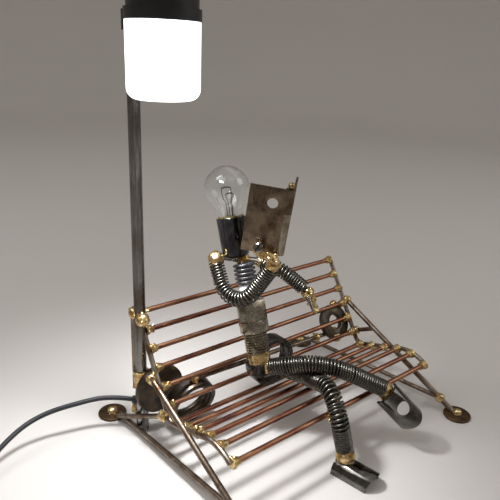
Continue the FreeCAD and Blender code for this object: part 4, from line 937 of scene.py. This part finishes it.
STAYING = {
    "side_frame": "frame_steel", "front_leg": "rod_steel", "rear_leg": "rod_steel", "foot_rail": "rod_steel",
    "side_strut": "rod_steel", "cross_rod": "rod_steel", "post_backing_rod": "rod_steel",
    "post_upright": "post_steel", "post_foot": "post_foot_steel", "lamp_cap": "cap_black",
    "lamp_diffuser": "frosted_diffuser", "led_lamp": "led_body", "limb_rods": "dark_steel",
    "head_bulb_base": "rim_brass", "book_pin": "pin_brass", "cord_grommet": "cord_black",
    "plug_tip": "bar_steel",
}


def finish_solids():
    for node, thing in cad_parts.items():
        if thing.hide_render:
            continue
        if node.startswith("slat_"):
            chosen = f"slat_brown_{int(node[-2:]) % 4}"
        else:
            chosen = next((name for start, name in STAYING.items() if node.startswith(start)), None)
        if chosen is None:
            raise RuntimeError(f"{node} has no finish")
        for mark in thing.material_slots:
            mark.material = finish(chosen)


# Stage

def make_stage():
    floor = spun("floor_sweep", [(0.001, 0), (1400, 0), (1560, 12), (1700, 60), (1820, 160), (1900, 320),
                                 (1930, 600), (1930, 2400)], Vector((0, 0, 0)), Vector((0, 0, 1)), 96)
    bpy.ops.object.shade_smooth()
    paint = Finish("floor_paint", Roughness=0.75)
    shade = tuple(colours().floor)
    paint.drive("Base Color", paint.mix(paint.span(paint.noise(2.0, 3.0), 0.0, 1.0), shade,
                                        tuple(c * 0.94 for c in shade)))
    floor.data.materials.append(paint.material)
    for name, spot, aim, size, power in (
            ("key_light", (-0.55, 0.25, 0.95), (0, 0, 0.08), 0.5, 3.2),
            ("fill_light", (0.75, -0.65, 0.75), (0, 0, 0.08), 0.7, 2.4)):
        deselect()
        bpy.ops.object.light_add(type="AREA", location=spot)
        light = bpy.context.object
        light.name = name
        light.data.shape = "DISK"
        light.data.size = size
        light.data.energy = power
        light.rotation_mode = "QUATERNION"
        light.rotation_quaternion = (Vector(spot) - Vector(aim)).to_track_quat("Z", "Y")
    bpy.ops.object.light_add(type="SPOT", location=LAMP_AXIS + mm(0, 0, 188))
    glow = bpy.context.object
    glow.name = "lamp_glow"
    glow.data.energy = 2.0
    glow.data.shadow_soft_size = 0.014
    glow.data.color = (0.93, 0.96, 1.0)
    glow.data.spot_size = math.radians(112)
    glow.data.spot_blend = 0.75
    world = bpy.data.worlds.new("studio")
    bpy.context.scene.world = world
    world.use_nodes = True
    sky = world.node_tree.nodes["Background"]
    sky.inputs["Color"].default_value = (0.90, 0.88, 0.87, 1.0)
    sky.inputs["Strength"].default_value = 0.62
    back = Vector((math.sin(CAMERA_AZIMUTH) * math.cos(CAMERA_DOWN),
                   -math.cos(CAMERA_AZIMUTH) * math.cos(CAMERA_DOWN), math.sin(CAMERA_DOWN)))
    level = Vector((math.cos(CAMERA_AZIMUTH), math.sin(CAMERA_AZIMUTH), 0))
    upward = back.cross(level)
    right = level * math.cos(CAMERA_ROLL) + upward * math.sin(CAMERA_ROLL)
    up = upward * math.cos(CAMERA_ROLL) - level * math.sin(CAMERA_ROLL)
    bpy.ops.object.camera_add()
    camera = bpy.context.object
    camera.name = "photo_camera"
    camera.matrix_world = Matrix.Translation(CAMERA_SPOT) @ Matrix((right, up, back)).transposed().to_4x4()
    camera.data.sensor_width = 36.0
    camera.data.lens = CAMERA_LENS
    camera.data.clip_start, camera.data.clip_end = 0.01, 20.0
    camera.data.dof.use_dof = False
    bpy.context.scene.camera = camera
    bpy.context.scene.view_settings.view_transform = "Standard"


# Operators, panel and registration

class BENCHLAMP_OT_cord(Operator):
    """Lay the cord from the post's foot to its coil and plug"""
    bl_idname = "benchlamp.cord"
    bl_label = "Cord and plug"

    def execute(self, context):
        make_cord()
        return {"FINISHED"}


class BENCHLAMP_OT_springs(Operator):
    """Wind the springs of the arms and legs"""
    bl_idname = "benchlamp.springs"
    bl_label = "Limb springs"

    def execute(self, context):
        make_springs()
        return {"FINISHED"}


class BENCHLAMP_OT_braze(Operator):
    """Rough out the brazed beads on every joint"""
    bl_idname = "benchlamp.braze"
    bl_label = "Brazed joints"

    def execute(self, context):
        make_braze()
        return {"FINISHED"}


class BENCHLAMP_OT_hands(Operator):
    """Shape both hands, the screw and the thumb"""
    bl_idname = "benchlamp.hands"
    bl_label = "Hands"

    def execute(self, context):
        make_hands()
        return {"FINISHED"}


class BENCHLAMP_OT_shoes(Operator):
    """Cut both shoes from tube"""
    bl_idname = "benchlamp.shoes"
    bl_label = "Shoes"

    def execute(self, context):
        make_shoes()
        return {"FINISHED"}


class BENCHLAMP_OT_bulb(Operator):
    """Blow the bulb that is the head, with its stem and filaments"""
    bl_idname = "benchlamp.bulb"
    bl_label = "Bulb head"

    def execute(self, context):
        make_bulb()
        return {"FINISHED"}


class BENCHLAMP_OT_insulator(Operator):
    """Turn the ribbed insulator that is the chest"""
    bl_idname = "benchlamp.insulator"
    bl_label = "Insulator"

    def execute(self, context):
        make_insulator()
        return {"FINISHED"}


class BENCHLAMP_OT_turnings(Operator):
    """Turn the head's sleeve and the hinge's rolled knuckles"""
    bl_idname = "benchlamp.turnings"
    bl_label = "Sleeve and knuckles"

    def execute(self, context):
        make_sleeve()
        return {"FINISHED"}


class BENCHLAMP_OT_edges(Operator):
    """Take the corners off the sheet and turned pieces"""
    bl_idname = "benchlamp.edges"
    bl_label = "Edged pieces"

    def execute(self, context):
        make_crisp()
        return {"FINISHED"}


class BENCHLAMP_OT_finishes(Operator):
    """Finish the rods, the post and the lamp head"""
    bl_idname = "benchlamp.finishes"
    bl_label = "Finishes"

    def execute(self, context):
        finish_solids()
        return {"FINISHED"}


class BENCHLAMP_OT_stage(Operator):
    """Set the floor, the lights and the camera"""
    bl_idname = "benchlamp.stage"
    bl_label = "Stage"

    def execute(self, context):
        make_stage()
        return {"FINISHED"}


STEPS = (BENCHLAMP_OT_stage, BENCHLAMP_OT_cord, BENCHLAMP_OT_springs, BENCHLAMP_OT_braze, BENCHLAMP_OT_hands,
         BENCHLAMP_OT_shoes, BENCHLAMP_OT_bulb, BENCHLAMP_OT_insulator, BENCHLAMP_OT_turnings,
         BENCHLAMP_OT_edges, BENCHLAMP_OT_finishes)


class BENCHLAMP_PT_panel(Panel):
    """The bench lamp's sizes, colours and pieces"""
    bl_idname = "BENCHLAMP_PT_panel"
    bl_label = "Bench Lamp"
    bl_space_type = "VIEW_3D"
    bl_region_type = "UI"
    bl_category = "Bench Lamp"

    def draw(self, context):
        for title, group in (("Sizes", sizes()), ("Colours", colours())):
            box = self.layout.box()
            box.label(text=title)
            for field in group.bl_rna.properties:
                if field.identifier not in ("rna_type", "name"):
                    box.prop(group, field.identifier)
        column = self.layout.column(align=True)
        for step in STEPS:
            column.operator(step.bl_idname)


CLASSES = (BenchLampSizes, BenchLampColours, *STEPS, BENCHLAMP_PT_panel)


def register():
    for kind in CLASSES:
        bpy.utils.register_class(kind)
    bpy.types.Scene.bench_lamp_sizes = PointerProperty(type=BenchLampSizes)
    bpy.types.Scene.bench_lamp_colours = PointerProperty(type=BenchLampColours)


def unregister():
    del bpy.types.Scene.bench_lamp_colours
    del bpy.types.Scene.bench_lamp_sizes
    for kind in reversed(CLASSES):
        bpy.utils.unregister_class(kind)


def main():
    register()
    for step in STEPS:
        group, name = step.bl_idname.split(".")
        getattr(getattr(bpy.ops, group), name)()
    deselect()


if __name__ == "__main__":
    main()
